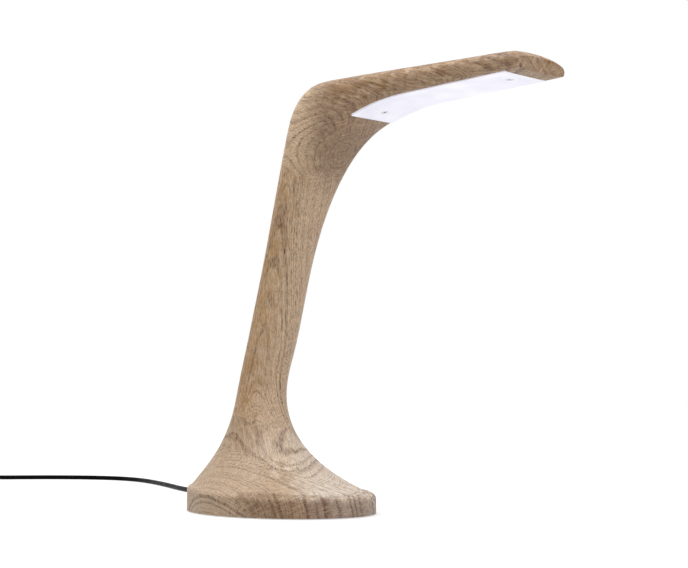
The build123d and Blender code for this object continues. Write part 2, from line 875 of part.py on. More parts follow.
parts_z = board_z + board_thickness
with BuildPart() as driver_parts:
    with BuildSketch(Plane.XY.offset(parts_z)):
        with Locations((driver_x + 6, -4)):
            RectangleRounded(transformer_size[0], transformer_size[1], 1.0)
    extrude(amount=transformer_size[2])
    with BuildSketch(Plane.XZ.offset(-4)):
        with Locations((driver_x - 8, parts_z + capacitor_radius)):
            Circle(capacitor_radius)
    extrude(amount=-capacitor_length)
    with BuildSketch(Plane.XY.offset(parts_z)):
        with Locations((driver_x + 8, 12)):
            Circle(coil_radius)
    extrude(amount=coil_height)
    with BuildSketch(Plane.XY.offset(parts_z)):
        with Locations((driver_x + 18, 2)):
            Rectangle(4, 14)
    extrude(amount=5)
save(driver_parts.part, "driver_parts")

with BuildPart() as driver_lid:
    with BuildSketch(Plane.XY.offset(case_top)):
        with Locations((driver_x, 0)):
            RectangleRounded(driver_length, driver_width, 2.5)
    extrude(amount=driver_lid_thickness)
    with BuildSketch(Plane.XY.offset(case_top)):
        with Locations((driver_x, 0)):
            lip_length = driver_length - 2 * driver_wall - 0.2
            lip_width = driver_width - 2 * driver_wall - 0.2
            RectangleRounded(lip_length, lip_width, 1.0)
            RectangleRounded(lip_length - 2, lip_width - 2, 0.5, mode=Mode.SUBTRACT)
    extrude(amount=-driver_lid_lip)
save(driver_lid.part, "driver_lid")

# Mains leads between the terminal block and the driver
block_front_x = block_x + block_length / 2
with BuildPart() as driver_leads:
    for _, pole_y in block_poles:
        with BuildSketch(Plane.YZ.offset(block_front_x)):
            with Locations((pole_y, driver_lead_z)):
                Circle(core_radius)
        extrude(amount=driver_rear_x + driver_wall + 2 - block_front_x)
save(driver_leads.part, "driver_leads")


def light_lead(side):
    """One lead from the driver up the neck's bore to the connector in the arm."""
    shift = side * lead_spacing / 2
    low = neck_point(hollow_top - 5)
    connector_end = light_point(panel_length - connector_margin, strip_depth - connector_height / 2)
    route = [
        (driver_rear_x + driver_wall + 2, lead_exit_y + shift, lead_exit_z),
        (driver_rear_x - 10, lead_exit_y + shift, lead_exit_z),
        (low.X, shift, low.Z),
        (bore_top.X, shift, bore_top.Z),
        (arm_bore_mouth[0] - 2, shift, arm_bore_mouth[1] + 0.2),
        (connector_end[0], shift, connector_end[1]),
    ]
    radii = corner_radii(route)
    radii[2] = lead_elbow_radius
    return tube("light lead", route, lead_radius, radii)


save(light_lead(-1), "lead_red")
save(light_lead(1), "lead_black")

# Aluminium heat sink, bent to the underside's curve
with BuildPart() as heat_sink:
    extrude(light_band(0, panel_length, strip_depth, recess_depth), amount=panel_width / 2, both=True)
    for distance in panel_screw_spots:
        with BuildSketch(light_plane(distance, strip_depth - 1)):
            Circle(panel_screw_radius + screw_gap)
        extrude(amount=heat_sink_thickness + 2, mode=Mode.SUBTRACT)
    for distance, side in sink_screw_spots:
        flipped = light_plane(distance, strip_depth, side)
        with Locations(Plane(origin=flipped.origin, x_dir=flipped.x_dir, z_dir=-flipped.z_dir)):
            CounterSinkHole(
                sink_screw_radius + screw_gap, sink_screw_head_radius + screw_gap, heat_sink_thickness + 1, 90
            )
save(heat_sink.part, "heat_sink")

sink_screw = countersunk_screw(sink_screw_head_radius, sink_screw_radius, sink_screw_length)
with BuildPart() as heat_sink_screws:
    for distance, side in sink_screw_spots:
        with Locations(light_plane(distance, strip_depth, side)):
            add(sink_screw)
save(heat_sink_screws.part, "heat_sink_screws")

# LED strips with their chips and the connector
strip_near = strip_end_margin
strip_far = panel_length - strip_end_margin - connector_length
with BuildPart() as led_strips:
    for side in (-1, 1):
        strip_y = side * strip_spacing / 2
        strip = light_band(strip_near, strip_far, strip_depth - strip_thickness, strip_depth, strip_y)
        extrude(strip, amount=strip_width / 2, both=True)
save(led_strips.part, "led_strips")

chip_count = int((strip_far - strip_near - chip_length) // chip_pitch) + 1
chip_first = (strip_near + strip_far - (chip_count - 1) * chip_pitch) / 2
with BuildPart() as led_chips:
    for index in range(chip_count):
        for side in (-1, 1):
            chip_depth = strip_depth - strip_thickness - chip_height - seat_gap
            plane = light_plane(chip_first + index * chip_pitch, chip_depth, side * strip_spacing / 2)
            with BuildSketch(plane):
                Rectangle(chip_length, chip_width)
            extrude(amount=chip_height)
save(led_chips.part, "led_chips")

with BuildPart() as led_connector:
    connector_spot = panel_length - connector_margin - connector_length / 2
    connector_plane = light_plane(connector_spot, strip_depth - 2 * seat_gap)
    with BuildSketch(connector_plane):
        Rectangle(connector_length, connector_width)
    extrude(amount=-connector_height)
save(led_connector.part, "led_connector")

# Opal diffuser, its two screws and the spacers behind it
with BuildPart() as diffuser:
    extrude(light_band(0, panel_length, 0, diffuser_thickness), amount=panel_width / 2, both=True)
    for distance in panel_screw_spots:
        face = light_plane(distance, 0)
        with Locations(Plane(origin=face.origin, x_dir=face.x_dir, z_dir=-face.z_dir)):
            CounterSinkHole(
                panel_screw_radius + screw_gap,
                panel_screw_head_radius + screw_gap,
                diffuser_thickness + 1,
                90,
            )
save(diffuser.part, "diffuser")

panel_screw = countersunk_screw(panel_screw_head_radius, panel_screw_radius, panel_screw_length, socket=1.4)
with BuildPart() as diffuser_screws:
    for distance in panel_screw_spots:
        with Locations(light_plane(distance, 0)):
            add(panel_screw)
save(diffuser_screws.part, "diffuser_screws")

with BuildPart() as diffuser_spacers:
    for distance in panel_screw_spots:
        with BuildSketch(light_plane(distance, diffuser_thickness)):
            Circle(spacer_radius)
            Circle(panel_screw_radius + screw_gap, mode=Mode.SUBTRACT)
        extrude(amount=spacer_length)
save(diffuser_spacers.part, "diffuser_spacers")

# Cord from the foot to the inline switch
save(tube("cord to switch", switch_route, cord_diameter / 2), "cord_to_switch")

# Inline switch: its own X runs along the cord, away from the lamp
switch_top = switch_base_height + switch_cover_height
inner_length = switch_length - 2 * switch_wall
inner_width = switch_width - 2 * switch_wall
inner_corner = switch_corner - switch_wall
floor_z = switch_wall
ceiling_z = switch_top - switch_wall
screw_corners = [(switch_screw_x, switch_screw_y), (-switch_screw_x, -switch_screw_y)]


def switch_plane(x=0.0, y=0.0, z=0.0):
    """Plane of the switch, moved by its own X, Y and Z."""
    return Plane(origin=(switch_x + y, switch_y - x, z), x_dir=(0, -1, 0), z_dir=(0, 0, 1))


def switch_side_plane(x, z, tilt):
    """Plane whose normal is the rocker's axle, its X tilted down from level by tilt degrees."""
    slope = radians(tilt)
    return Plane(
        origin=(switch_x, switch_y - x, z),
        x_dir=(0, -cos(slope), -sin(slope)),
        z_dir=(-1, 0, 0),
    )


cord_bore = straight_bore(
    Vector(switch_x, switch_y - switch_length, cord_entry_z),
    Vector(switch_x, switch_y + switch_length, cord_entry_z),
    cord_diameter / 2 + cord_gap,
)

with BuildPart() as switch_base:
    with BuildSketch(switch_plane()):
        RectangleRounded(switch_length, switch_width, switch_corner)
    extrude(amount=switch_base_height)
    fillet(switch_base.edges().group_by(Axis.Z)[0], radius=1.0)
    with BuildSketch(switch_plane(z=floor_z)):
        RectangleRounded(inner_length, inner_width, inner_corner)
    extrude(amount=switch_base_height, mode=Mode.SUBTRACT)
    with BuildSketch(switch_plane(z=floor_z)):
        with Locations(*screw_corners):
            Circle(switch_boss_radius)
    extrude(amount=switch_base_height - floor_z)
    add(cord_bore, mode=Mode.SUBTRACT)
    for x, y in screw_corners:
        with BuildSketch(switch_plane(x, y)):
            Circle(switch_screw_head_radius + screw_gap)
        extrude(amount=switch_screw_head_height, mode=Mode.SUBTRACT)
        with BuildSketch(switch_plane(x, y)):
            Circle(switch_screw_radius + screw_gap)
        extrude(amount=switch_base_height, mode=Mode.SUBTRACT)
save(switch_base.part, "switch_base")

axle_half = rocker_width / 2 + axle_length
with BuildPart() as switch_cover:
    with BuildSketch(switch_plane(z=switch_base_height)):
        RectangleRounded(switch_length, switch_width, switch_corner)
    extrude(amount=switch_cover_height)
    fillet(switch_cover.edges().group_by(Axis.Z)[-1], radius=switch_edge_round)
    with BuildSketch(switch_plane(z=switch_base_height)):
        RectangleRounded(inner_length, inner_width, inner_corner)
    extrude(amount=switch_cover_height - switch_wall, mode=Mode.SUBTRACT)
    with BuildSketch(switch_plane(z=ceiling_z)):
        RectangleRounded(rocker_length + 5, rocker_width + 4 * rocker_gap + 6, 1.0)
    extrude(amount=-(ceiling_z - rocker_pivot_z + 2.4))
    with BuildSketch(switch_plane(z=ceiling_z)):
        with Locations(*screw_corners):
            Circle(switch_boss_radius)
    extrude(amount=-(ceiling_z - switch_base_height))
    with BuildSketch(switch_plane(z=switch_base_height)):
        Rectangle(rocker_length + 2 * rocker_gap, rocker_width + 2 * rocker_gap)
    extrude(amount=switch_cover_height + 1, mode=Mode.SUBTRACT)
    with BuildSketch(switch_side_plane(0, rocker_pivot_z, 0)):
        Circle(axle_radius + axle_gap)
    extrude(amount=axle_half + axle_gap, both=True, mode=Mode.SUBTRACT)
    add(cord_bore, mode=Mode.SUBTRACT)
    for x, y in screw_corners:
        with BuildSketch(switch_plane(x, y, switch_base_height)):
            Circle(switch_screw_radius + screw_gap)
        extrude(amount=switch_cover_height - switch_wall - 1, mode=Mode.SUBTRACT)
save(switch_cover.part, "switch_cover")

# Rocker, resting in its off position with the end near the lamp pressed down
rest_plane = switch_side_plane(0, rocker_pivot_z, -rocker_tilt)
with BuildPart() as switch_rocker:
    with BuildSketch(rest_plane):
        with BuildLine():
            Polyline(
                (-rocker_length / 2, rocker_rise),
                (0, rocker_rise - rocker_dish),
                (rocker_length / 2, rocker_rise),
                (rocker_length / 2 - 0.6, -rocker_depth),
                (rocker_leg_width / 2, -rocker_depth),
                (rocker_leg_width / 2 - 0.4, -rocker_leg_length),
                (-rocker_leg_width / 2 + 0.4, -rocker_leg_length),
                (-rocker_leg_width / 2, -rocker_depth),
                (-rocker_length / 2 + 0.6, -rocker_depth),
                close=True,
            )
        make_face()
    extrude(amount=rocker_width / 2, both=True)
    with BuildSketch(rest_plane):
        Circle(axle_radius)
    extrude(amount=axle_half, both=True)
save(switch_rocker.part, "switch_rocker")

# Seesaw contact under the rocker and the brass pieces that it joins
contact_plane = switch_side_plane(0, contact_pivot_z, contact_tilt)
with BuildPart() as switch_contact:
    with BuildSketch(contact_plane):
        with Locations((0, contact_post_radius + contact_gap / 2 + contact_thickness / 2)):
            Rectangle(contact_length, contact_thickness)
    extrude(amount=contact_width / 2, both=True)
save(switch_contact.part, "switch_contact")

with BuildPart() as switch_terminals:
    for side in (-1, 1):
        with BuildSketch(switch_plane(side * terminal_x, 0, floor_z)):
            Rectangle(terminal_length, terminal_width)
        extrude(amount=terminal_height)
    with BuildSketch(switch_plane(z=floor_z)):
        Rectangle(2 * contact_post_radius, contact_width + 2)
    extrude(amount=contact_pivot_z - floor_z)
    with BuildSketch(switch_side_plane(0, contact_pivot_z, 0)):
        Circle(contact_post_radius)
    extrude(amount=contact_width / 2 + 1, both=True)
save(switch_terminals.part, "switch_terminals")

# Cord clamps inside the switch, their screws, and the screws that close it
clamp_bar_z = cord_entry_z + cord_diameter / 2
clamp_post_depth = clamp_bar_z - floor_z
with BuildPart() as switch_clamps:
    for side in (-1, 1):
        with BuildSketch(switch_plane(side * switch_clamp_x, 0, floor_z)):
            Rectangle(switch_clamp_length, switch_clamp_width)
        extrude(amount=clamp_post_depth + switch_clamp_height)
    add(cord_bore, mode=Mode.SUBTRACT)
    for side in (-1, 1):
        with BuildSketch(switch_plane(side * switch_clamp_x, 0, floor_z)):
            with GridLocations(0, switch_clamp_screw_spacing, 1, 2):
                Circle(switch_clamp_screw_radius + screw_gap)
        extrude(amount=clamp_post_depth + switch_clamp_height, mode=Mode.SUBTRACT)
save(switch_clamps.part, "switch_clamps")

switch_clamp_screw = cheese_screw(
    switch_clamp_screw_head, 1.0, switch_clamp_screw_radius, clamp_post_depth + switch_clamp_height - 0.5
)
with BuildPart() as switch_clamp_screws:
    for side in (-1, 1):
        for across in (-1, 1):
            place = switch_plane(
                side * switch_clamp_x,
                across * switch_clamp_screw_spacing / 2,
                clamp_bar_z + switch_clamp_height,
            )
            with Locations(place):
                add(switch_clamp_screw)
save(switch_clamp_screws.part, "switch_clamp_screws")

switch_screw = cheese_screw(
    switch_screw_head_radius, switch_screw_head_height, switch_screw_radius, switch_base_height + 2
)
with BuildPart() as switch_screws:
    for x, y in screw_corners:
        seat = switch_plane(x, y, switch_screw_head_height)
        with Locations(Plane(origin=seat.origin, x_dir=(0, 1, 0), z_dir=(0, 0, -1))):
            add(switch_screw)
save(switch_screws.part, "switch_screws")

# Cord ends inside the switch, gripped by the clamps
with BuildPart() as switch_cord_ends:
    for end in (-1, 1):
        mouth_point = (switch_x, switch_y - end * switch_length / 2, cord_entry_z)
        with BuildSketch(Plane(origin=mouth_point, z_dir=(0, end, 0))):
            Circle(cord_diameter / 2)
        extrude(amount=switch_length / 2 - switch_clamp_x + switch_clamp_length)
save(switch_cord_ends.part, "switch_cord_ends")

cores_start = switch_clamp_x - switch_clamp_length
terminal_end = terminal_x + terminal_length / 2


def switch_core(points):
    """One core inside the switch, from points in the switch's own X, Y and Z."""
    return tube("switch core", [(switch_x + y, switch_y - x, z) for x, y, z in points], core_radius)


def switched_core(side):
    """Core from one cord end down to its terminal."""
    return switch_core(
        [
            (side * cores_start, 0, cord_entry_z - core_spacing / 2),
            (side * (cores_start - 1.8), 0, cord_entry_z - core_spacing / 2),
            (side * (terminal_end + 1.6), 0, terminal_core_z),
            (side * terminal_end, 0, terminal_core_z),
        ]
    )


def bypass_points(side):
    """Points of the unswitched core at one end, from the cord inwards."""
    return [
        (side * cores_start, 0, cord_entry_z + core_spacing / 2),
        (side * (cores_start - 2.0), 0, cord_entry_z + core_spacing / 2),
        (side * (terminal_end + 0.4), bypass_y, bypass_z + 1.8),
        (side * (terminal_end - 4), bypass_y, bypass_z),
    ]


switch_core_parts = [
    switched_core(-1),
    switched_core(1),
    switch_core(bypass_points(-1) + bypass_points(1)[::-1]),
]
with BuildPart() as switch_cores:
    add(switch_core_parts)
save(switch_cores.part, "switch_cores")

# The rest of the cord: to the coil, the put-away coil and its tie, and the tail to the plug
save(tube("cord to plug", plug_route, cord_diameter / 2), "cord_to_plug")

ring_inner = coil_inner_turn - cord_diameter / 2 - coil_slack
ring_outer = coil_outer_turn + cord_diameter / 2 + coil_slack
ring_height = cord_diameter * coil_layers + 2 * coil_slack
with BuildPart() as cord_coil:
    with BuildSketch(Plane.XY.offset(coil_lift)):
        with Locations((coil_centre_x, coil_centre_y)):
            Circle(ring_outer)
            Circle(ring_inner, mode=Mode.SUBTRACT)
    extrude(amount=ring_height)
    fillet(cord_coil.edges(), radius=coil_edge_round)
    for side, z in ((-1, coil_low_z), (1, coil_high_z)):
        x = coil_centre_x + side * coil_outer_turn
        with BuildSketch(Plane(origin=(x, coil_centre_y, z), z_dir=(0, 1, 0))):
            Circle(cord_diameter / 2)
        extrude(amount=coil_stub_length)
save(cord_coil.part, "cord_coil")

tie_turn = radians(tie_angle)
tie_reach = (ring_inner + ring_outer) / 2
tie_plane = Plane(
    origin=(
        coil_centre_x + tie_reach * cos(tie_turn),
        coil_centre_y + tie_reach * sin(tie_turn),
        coil_lift + ring_height / 2,
    ),
    x_dir=(cos(tie_turn), sin(tie_turn), 0),
    z_dir=(-sin(tie_turn), cos(tie_turn), 0),
)
ring_width = ring_outer - ring_inner
tie_bulge = ring_outer - (ring_outer**2 - (tie_width / 2) ** 2) ** 0.5
with BuildPart() as coil_tie:
    with BuildSketch(tie_plane):
        inner_x = ring_width + 2 * tie_gap + 2 * tie_bulge
        inner_z = ring_height + 2 * tie_gap
        RectangleRounded(inner_x + 2 * tie_thickness, inner_z + 2 * tie_thickness, coil_edge_round)
        RectangleRounded(inner_x, inner_z, coil_edge_round - tie_thickness, mode=Mode.SUBTRACT)
    extrude(amount=tie_width / 2, both=True)
save(coil_tie.part, "coil_tie")

save(tube("cord tail", tail_route, cord_diameter / 2), "cord_tail")

# Flat two-pin plug, lying on the table with its pins pointing along +Y
plug_front_y = plug_y + plug_length
plug_mid_z = plug_thickness / 2
with BuildPart() as plug_body:
    with BuildSketch(Plane.XY):
        with BuildLine():
            Polyline(
                (plug_x - plug_rear_width / 2, plug_y),
                (plug_x + plug_rear_width / 2, plug_y),
                (plug_x + plug_width / 2, plug_front_y - plug_shoulder),
                (plug_x + plug_width / 2, plug_front_y),
                (plug_x - plug_width / 2, plug_front_y),
                (plug_x - plug_width / 2, plug_front_y - plug_shoulder),
                close=True,
            )
        make_face()
    extrude(amount=plug_thickness)
    fillet(plug_body.edges().filter_by(Axis.Z), radius=plug_corner)
    fillet(plug_body.edges().group_by(Axis.Z)[-1], radius=plug_edge_round)
    fillet(plug_body.edges().group_by(Axis.Z)[0], radius=plug_edge_round)
    with BuildSketch(Plane(origin=(plug_x, plug_y + 2, plug_mid_z), z_dir=(0, -1, 0))):
        Circle(plug_boot_radius)
    with BuildSketch(Plane(origin=(plug_x, plug_y - plug_boot_length, plug_mid_z), z_dir=(0, -1, 0))):
        Circle(plug_boot_tip_radius)
    loft()
    with BuildSketch(Plane(origin=(plug_x, plug_front_y, plug_mid_z), x_dir=(1, 0, 0), z_dir=(0, -1, 0))):
        with GridLocations(pin_spacing, 0, 2, 1):
            Circle(pin_root_radius)
    extrude(amount=pin_root, mode=Mode.SUBTRACT)
save(plug_body.part, "plug_body")

with BuildPart() as plug_pins:
    pin_plane = Plane(origin=(plug_x, plug_front_y, plug_mid_z), x_dir=(1, 0, 0), z_dir=(0, 1, 0))
    with BuildSketch(pin_plane):
        with GridLocations(pin_spacing, 0, 2, 1):
            Circle(pin_radius)
    extrude(amount=pin_length)
    with BuildSketch(pin_plane):
        with GridLocations(pin_spacing, 0, 2, 1):
            Circle(pin_root_radius)
    extrude(amount=-pin_root)
    chamfer(plug_pins.edges().group_by(Axis.Y)[-1], length=pin_chamfer)
save(plug_pins.part, "plug_pins")

visible = cord_inner_end_x - sleeve_end_x
print(f"panel length {panel_length:.1f}, strips {strip_far - strip_near:.1f}, chips {2 * chip_count}")
elbow_turn = 90 - neck_lean - degrees(bend_turn)
print(f"joint height {joint_z:.0f}, elbow turn {elbow_turn:.1f}, cord inside {visible:.0f}")
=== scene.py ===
"""Carved oak desk lamp: its finishes, cord, plug and studio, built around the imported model."""

import logging
import math
from dataclasses import dataclass
from enum import Enum
from typing import Optional, Sequence, Union

import bmesh
import bpy
from mathutils import Matrix, Vector


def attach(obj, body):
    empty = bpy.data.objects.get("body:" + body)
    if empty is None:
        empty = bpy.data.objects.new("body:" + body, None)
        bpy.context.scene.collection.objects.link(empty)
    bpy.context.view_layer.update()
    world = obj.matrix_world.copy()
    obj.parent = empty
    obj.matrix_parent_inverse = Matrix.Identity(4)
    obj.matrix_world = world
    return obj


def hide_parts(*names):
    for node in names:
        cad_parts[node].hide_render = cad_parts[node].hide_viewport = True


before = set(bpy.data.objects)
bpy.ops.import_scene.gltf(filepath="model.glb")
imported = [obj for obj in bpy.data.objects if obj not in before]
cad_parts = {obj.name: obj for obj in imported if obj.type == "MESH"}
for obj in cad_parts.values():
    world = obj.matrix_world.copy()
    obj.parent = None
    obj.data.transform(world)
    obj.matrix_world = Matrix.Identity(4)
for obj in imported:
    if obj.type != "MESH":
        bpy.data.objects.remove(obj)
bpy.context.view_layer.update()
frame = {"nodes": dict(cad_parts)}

MM = 0.001
LAMP = "lamp"
ROCKER = "rocker"

Point = tuple[float, float, float]
Colour = tuple[float, float, float, float]
Socket = bpy.types.NodeSocket
Feed = Union[Socket, float, Sequence[float], None]

log = logging.getLogger("desk_lamp")


def srgb(red: int, green: int, blue: int) -> Colour:
    """Turn an everyday 0 to 255 colour into the linear colour that shaders take.

    Args:
        red: red from 0 to 255.
        green: green from 0 to 255.
        blue: blue from 0 to 255.

    Returns:
        The linear colour with full alpha.
    """

    def linear(value: int) -> float:
        """One channel, from display to linear."""
        share = value / 255
        return share / 12.92 if share <= 0.04045 else ((share + 0.055) / 1.055) ** 2.4

    return (linear(red), linear(green), linear(blue), 1.0)


class Kind(Enum):
    """What a group's socket carries."""

    VALUE = "NodeSocketFloat"
    VECTOR = "NodeSocketVector"
    COLOUR = "NodeSocketColor"


class FarEnd(Enum):
    """What a cord ends in."""

    FITTING = "fitting"
    PLUG = "plug"


class Lay(Enum):
    """How a cord lies."""

    LOOSE = "loose"
    COILED = "coiled"


@dataclass(frozen=True)
class Port:
    """One named socket of an effect group."""

    label: str
    kind: Kind = Kind.VALUE
    start: float = 0.0


@dataclass
class Graph:
    """Short ways to add nodes to one node tree and to join them."""

    tree: bpy.types.NodeTree

    def add(self, kind: str, **settings: object) -> bpy.types.Node:
        """Add a node and set its options.

        Args:
            kind: the node's type name.
            settings: the node's own options by name.

        Returns:
            The new node.
        """
        node = self.tree.nodes.new(kind)
        for name, value in settings.items():
            setattr(node, name, value)
        return node

    def feed(self, socket: Socket, value: Feed) -> None:
        """Join a socket to another one, or write a plain value into it.

        Args:
            socket: the input to fill.
            value: an output socket, a number, a vector or a colour; None leaves the input as it is.
        """
        if value is None:
            return
        if isinstance(value, Socket):
            self.tree.links.new(value, socket)
        else:
            socket.default_value = value

    def fill(self, node: bpy.types.Node, feeds: dict[str, Feed]) -> None:
        """Feed several of a node's inputs, by their labels."""
        for label, value in feeds.items():
            self.feed(node.inputs[label], value)

    def math(self, operation: str, first: Feed, second: Feed = None, third: Feed = None) -> Socket:
        """Add a Math node.

        Args:
            operation: the sum to do, such as MULTIPLY.
            first: its first value.
            second: its second value.
            third: its third value.

        Returns:
            The result's socket.
        """
        node = self.add("ShaderNodeMath", operation=operation)
        for socket, value in zip(node.inputs, (first, second, third)):
            self.feed(socket, value)
        return node.outputs[0]

    def vector(
        self, operation: str, first: Feed, second: Feed = None, scale: Feed = None
    ) -> Socket:
        """Add a Vector Math node.

        Args:
            operation: the sum to do, such as SUBTRACT or DOT_PRODUCT.
            first: its first vector.
            second: its second vector.
            scale: the factor of SCALE.

        Returns:
            The number for DOT_PRODUCT and LENGTH, else the vector.
        """
        node = self.add("ShaderNodeVectorMath", operation=operation)
        self.feed(node.inputs[0], first)
        self.feed(node.inputs[1], second)
        if operation == "SCALE":
            self.feed(node.inputs["Scale"], scale)
        return node.outputs["Value" if operation in ("DOT_PRODUCT", "LENGTH") else "Vector"]

    def split(self, value: Feed) -> tuple[Socket, ...]:
        """Take a vector apart.

        Args:
            value: the vector.

        Returns:
            Its three numbers.
        """
        node = self.add("ShaderNodeSeparateXYZ")
        self.feed(node.inputs[0], value)
        return tuple(node.outputs)

    def join(self, x: Feed, y: Feed, z: Feed) -> Socket:
        """Put three numbers together as a vector.

        Args:
            x: the first number.
            y: the second number.
            z: the third number.

        Returns:
            The vector.
        """
        node = self.add("ShaderNodeCombineXYZ")
        for socket, value in zip(node.inputs, (x, y, z)):
            self.feed(socket, value)
        return node.outputs[0]

    def stretch(self, parts: Sequence[Feed], sizes: Sequence[Feed]) -> Socket:
        """Divide each part of a point by a size of its own, so that one step of noise is that size.

        Args:
            parts: the point's three numbers.
            sizes: the size for each, in metres.

        Returns:
            The stretched point.
        """
        return self.join(*[self.math("DIVIDE", part, size) for part, size in zip(parts, sizes)])

    def noise(
        self, point: Feed, scale: float = 1.0, detail: float = 2.0, rough: float = 0.5
    ) -> Socket:
        """Add soft noise that runs from about 0.3 to 0.7.

        Args:
            point: where to read it.
            scale: steps per unit of length.
            detail: how many finer layers it has.
            rough: how strong those layers are.

        Returns:
            The noise as a number.
        """
        node = self.add("ShaderNodeTexNoise")
        self.fill(node, {"Vector": point, "Scale": scale, "Detail": detail, "Roughness": rough})
        return node.outputs["Fac"]

    def noise_along(self, value: Feed, detail: float = 1.0) -> Socket:
        """Add noise that changes along one number only.

        Args:
            value: the number.
            detail: how many finer layers it has.

        Returns:
            The noise as a number.
        """
        node = self.add("ShaderNodeTexNoise", noise_dimensions="1D")
        self.fill(node, {"W": value, "Scale": 1.0, "Detail": detail})
        return node.outputs["Fac"]

    def cells(self, point: Feed, scale: float = 1.0, loose: float = 1.0) -> Socket:
        """Add the distance to the nearest of many scattered spots.

        Args:
            point: where to read it.
            scale: spots per unit of length.
            loose: how far the spots leave a regular grid, 0 to 1.

        Returns:
            The distance as a number.
        """
        node = self.add("ShaderNodeTexVoronoi")
        self.fill(node, {"Vector": point, "Scale": scale, "Randomness": loose})
        return node.outputs["Distance"]

    def ease(
        self, value: Feed, start: float, end: float, low: float = 0.0, high: float = 1.0
    ) -> Socket:
        """Let a number come in softly between two limits.

        Args:
            value: the number to read.
            start: where the result leaves low.
            end: where the result reaches high; it may lie below start.
            low: the result before start.
            high: the result after end.

        Returns:
            The eased number.
        """
        node = self.add("ShaderNodeMapRange", interpolation_type="SMOOTHSTEP")
        for socket, given in zip(node.inputs, (value, start, end, low, high)):
            self.feed(socket, given)
        return node.outputs[0]

    def choose(self, share: Feed, first: Feed, second: Feed) -> Socket:
        """Go from one vector to another.

        Args:
            share: 0 for the first, 1 for the second.
            first: the vector at 0.
            second: the vector at 1.

        Returns:
            The vector.
        """
        step = self.vector("SCALE", self.vector("SUBTRACT", second, first), scale=share)
        return self.vector("ADD", first, step)

    def between(self, share: Feed, first: Feed, second: Feed) -> Socket:
        """Blend two numbers.

        Args:
            share: 0 for the first, 1 for the second.
            first: the number at 0.
            second: the number at 1.

        Returns:
            The blended number.
        """
        node = self.add("ShaderNodeMix", data_type="FLOAT")
        for index, value in zip((0, 2, 3), (share, first, second)):
            self.feed(node.inputs[index], value)
        return node.outputs[0]

    def paint(self, share: Feed, first: Feed, second: Feed) -> Socket:
        """Blend two colours.

        Args:
            share: how much of the second colour is used.
            first: the colour underneath.
            second: the colour on top.

        Returns:
            The blended colour.
        """
        node = self.add("ShaderNodeMix", data_type="RGBA")
        for index, value in zip((0, 6, 7), (share, first, second)):
            self.feed(node.inputs[index], value)
        return node.outputs[2]

    def tint(self, tone: Feed, mask: Feed, strength: float, colour: Colour) -> Socket:
        """Lay a colour over a tone where a mask says so.

        Args:
            tone: the colour underneath.
            mask: where the colour goes, 0 to 1.
            strength: how much of it shows where the mask is 1.
            colour: the colour on top.

        Returns:
            The tinted tone.
        """
        return self.paint(self.math("MULTIPLY", mask, strength), tone, colour)

    def centred(self, value: Feed) -> Socket:
        """Shift noise so that it swings about zero."""
        return self.math("SUBTRACT", value, 0.5)

    def place(self) -> Socket:
        """The point on the piece, in metres, which moves with the piece."""
        return self.add("ShaderNodeTexCoord").outputs["Object"]

    def seen(self) -> Socket:
        """Tell what the camera sees, also in a reflection or through glass, from what lights.

        Returns:
            1 for what is seen, 0 for light.
        """
        rays = self.add("ShaderNodeLightPath")
        seen = self.math("MAXIMUM", rays.outputs["Is Camera Ray"], rays.outputs["Is Glossy Ray"])
        return self.math("MAXIMUM", seen, rays.outputs["Is Transmission Ray"])

    def bump(self, height: Feed, depth: float, strength: float) -> Socket:
        """Turn a height that varies over the surface into a normal.

        Args:
            height: the height from 0 to 1.
            depth: what a height of 1 stands for, in metres.
            strength: how much of it shows.

        Returns:
            The normal.
        """
        node = self.add("ShaderNodeBump")
        self.fill(node, {"Strength": strength, "Distance": depth, "Height": height})
        return node.outputs[0]


class Effect:
    """A shader node group that several finishes place, built once."""

    name = "effect"
    inputs: tuple[Port, ...] = ()
    outputs: tuple[Port, ...] = ()

    def wire(self, graph: Graph, given: dict[str, Socket]) -> dict[str, Feed]:
        """Build the inside of the group.

        Args:
            graph: the group's own tree.
            given: its inputs by label.

        Returns:
            What goes to each output, by label.
        """
        raise NotImplementedError

    def tree(self) -> bpy.types.NodeTree:
        """Give the group's tree, and build it the first time.

        Returns:
            The node group.
        """
        found = bpy.data.node_groups.get(self.name)
        if found is not None:
            return found
        made = bpy.data.node_groups.new(self.name, "ShaderNodeTree")
        for port in self.inputs:
            socket = made.interface.new_socket(
                name=port.label, in_out="INPUT", socket_type=port.kind.value
            )
            if port.kind is Kind.VALUE:
                socket.default_value = port.start
        for port in self.outputs:
            made.interface.new_socket(name=port.label, in_out="OUTPUT", socket_type=port.kind.value)
        graph = Graph(made)
        entry = graph.add("NodeGroupInput")
        leave = graph.add("NodeGroupOutput")
        results = self.wire(graph, {port.label: entry.outputs[port.label] for port in self.inputs})
        for label, value in results.items():
            graph.feed(leave.inputs[label], value)
        return made

    def use(self, graph: Graph, feeds: dict[str, Feed]) -> dict[str, Socket]:
        """Place the group in a material.

        Args:
            graph: the material's tree.
            feeds: values or sockets for its inputs, by label.

        Returns:
            The group's output sockets by label.
        """
        node = graph.add("ShaderNodeGroup")
        node.node_tree = self.tree()
        graph.fill(node, feeds)
        return {port.label: node.outputs[port.label] for port in self.outputs}


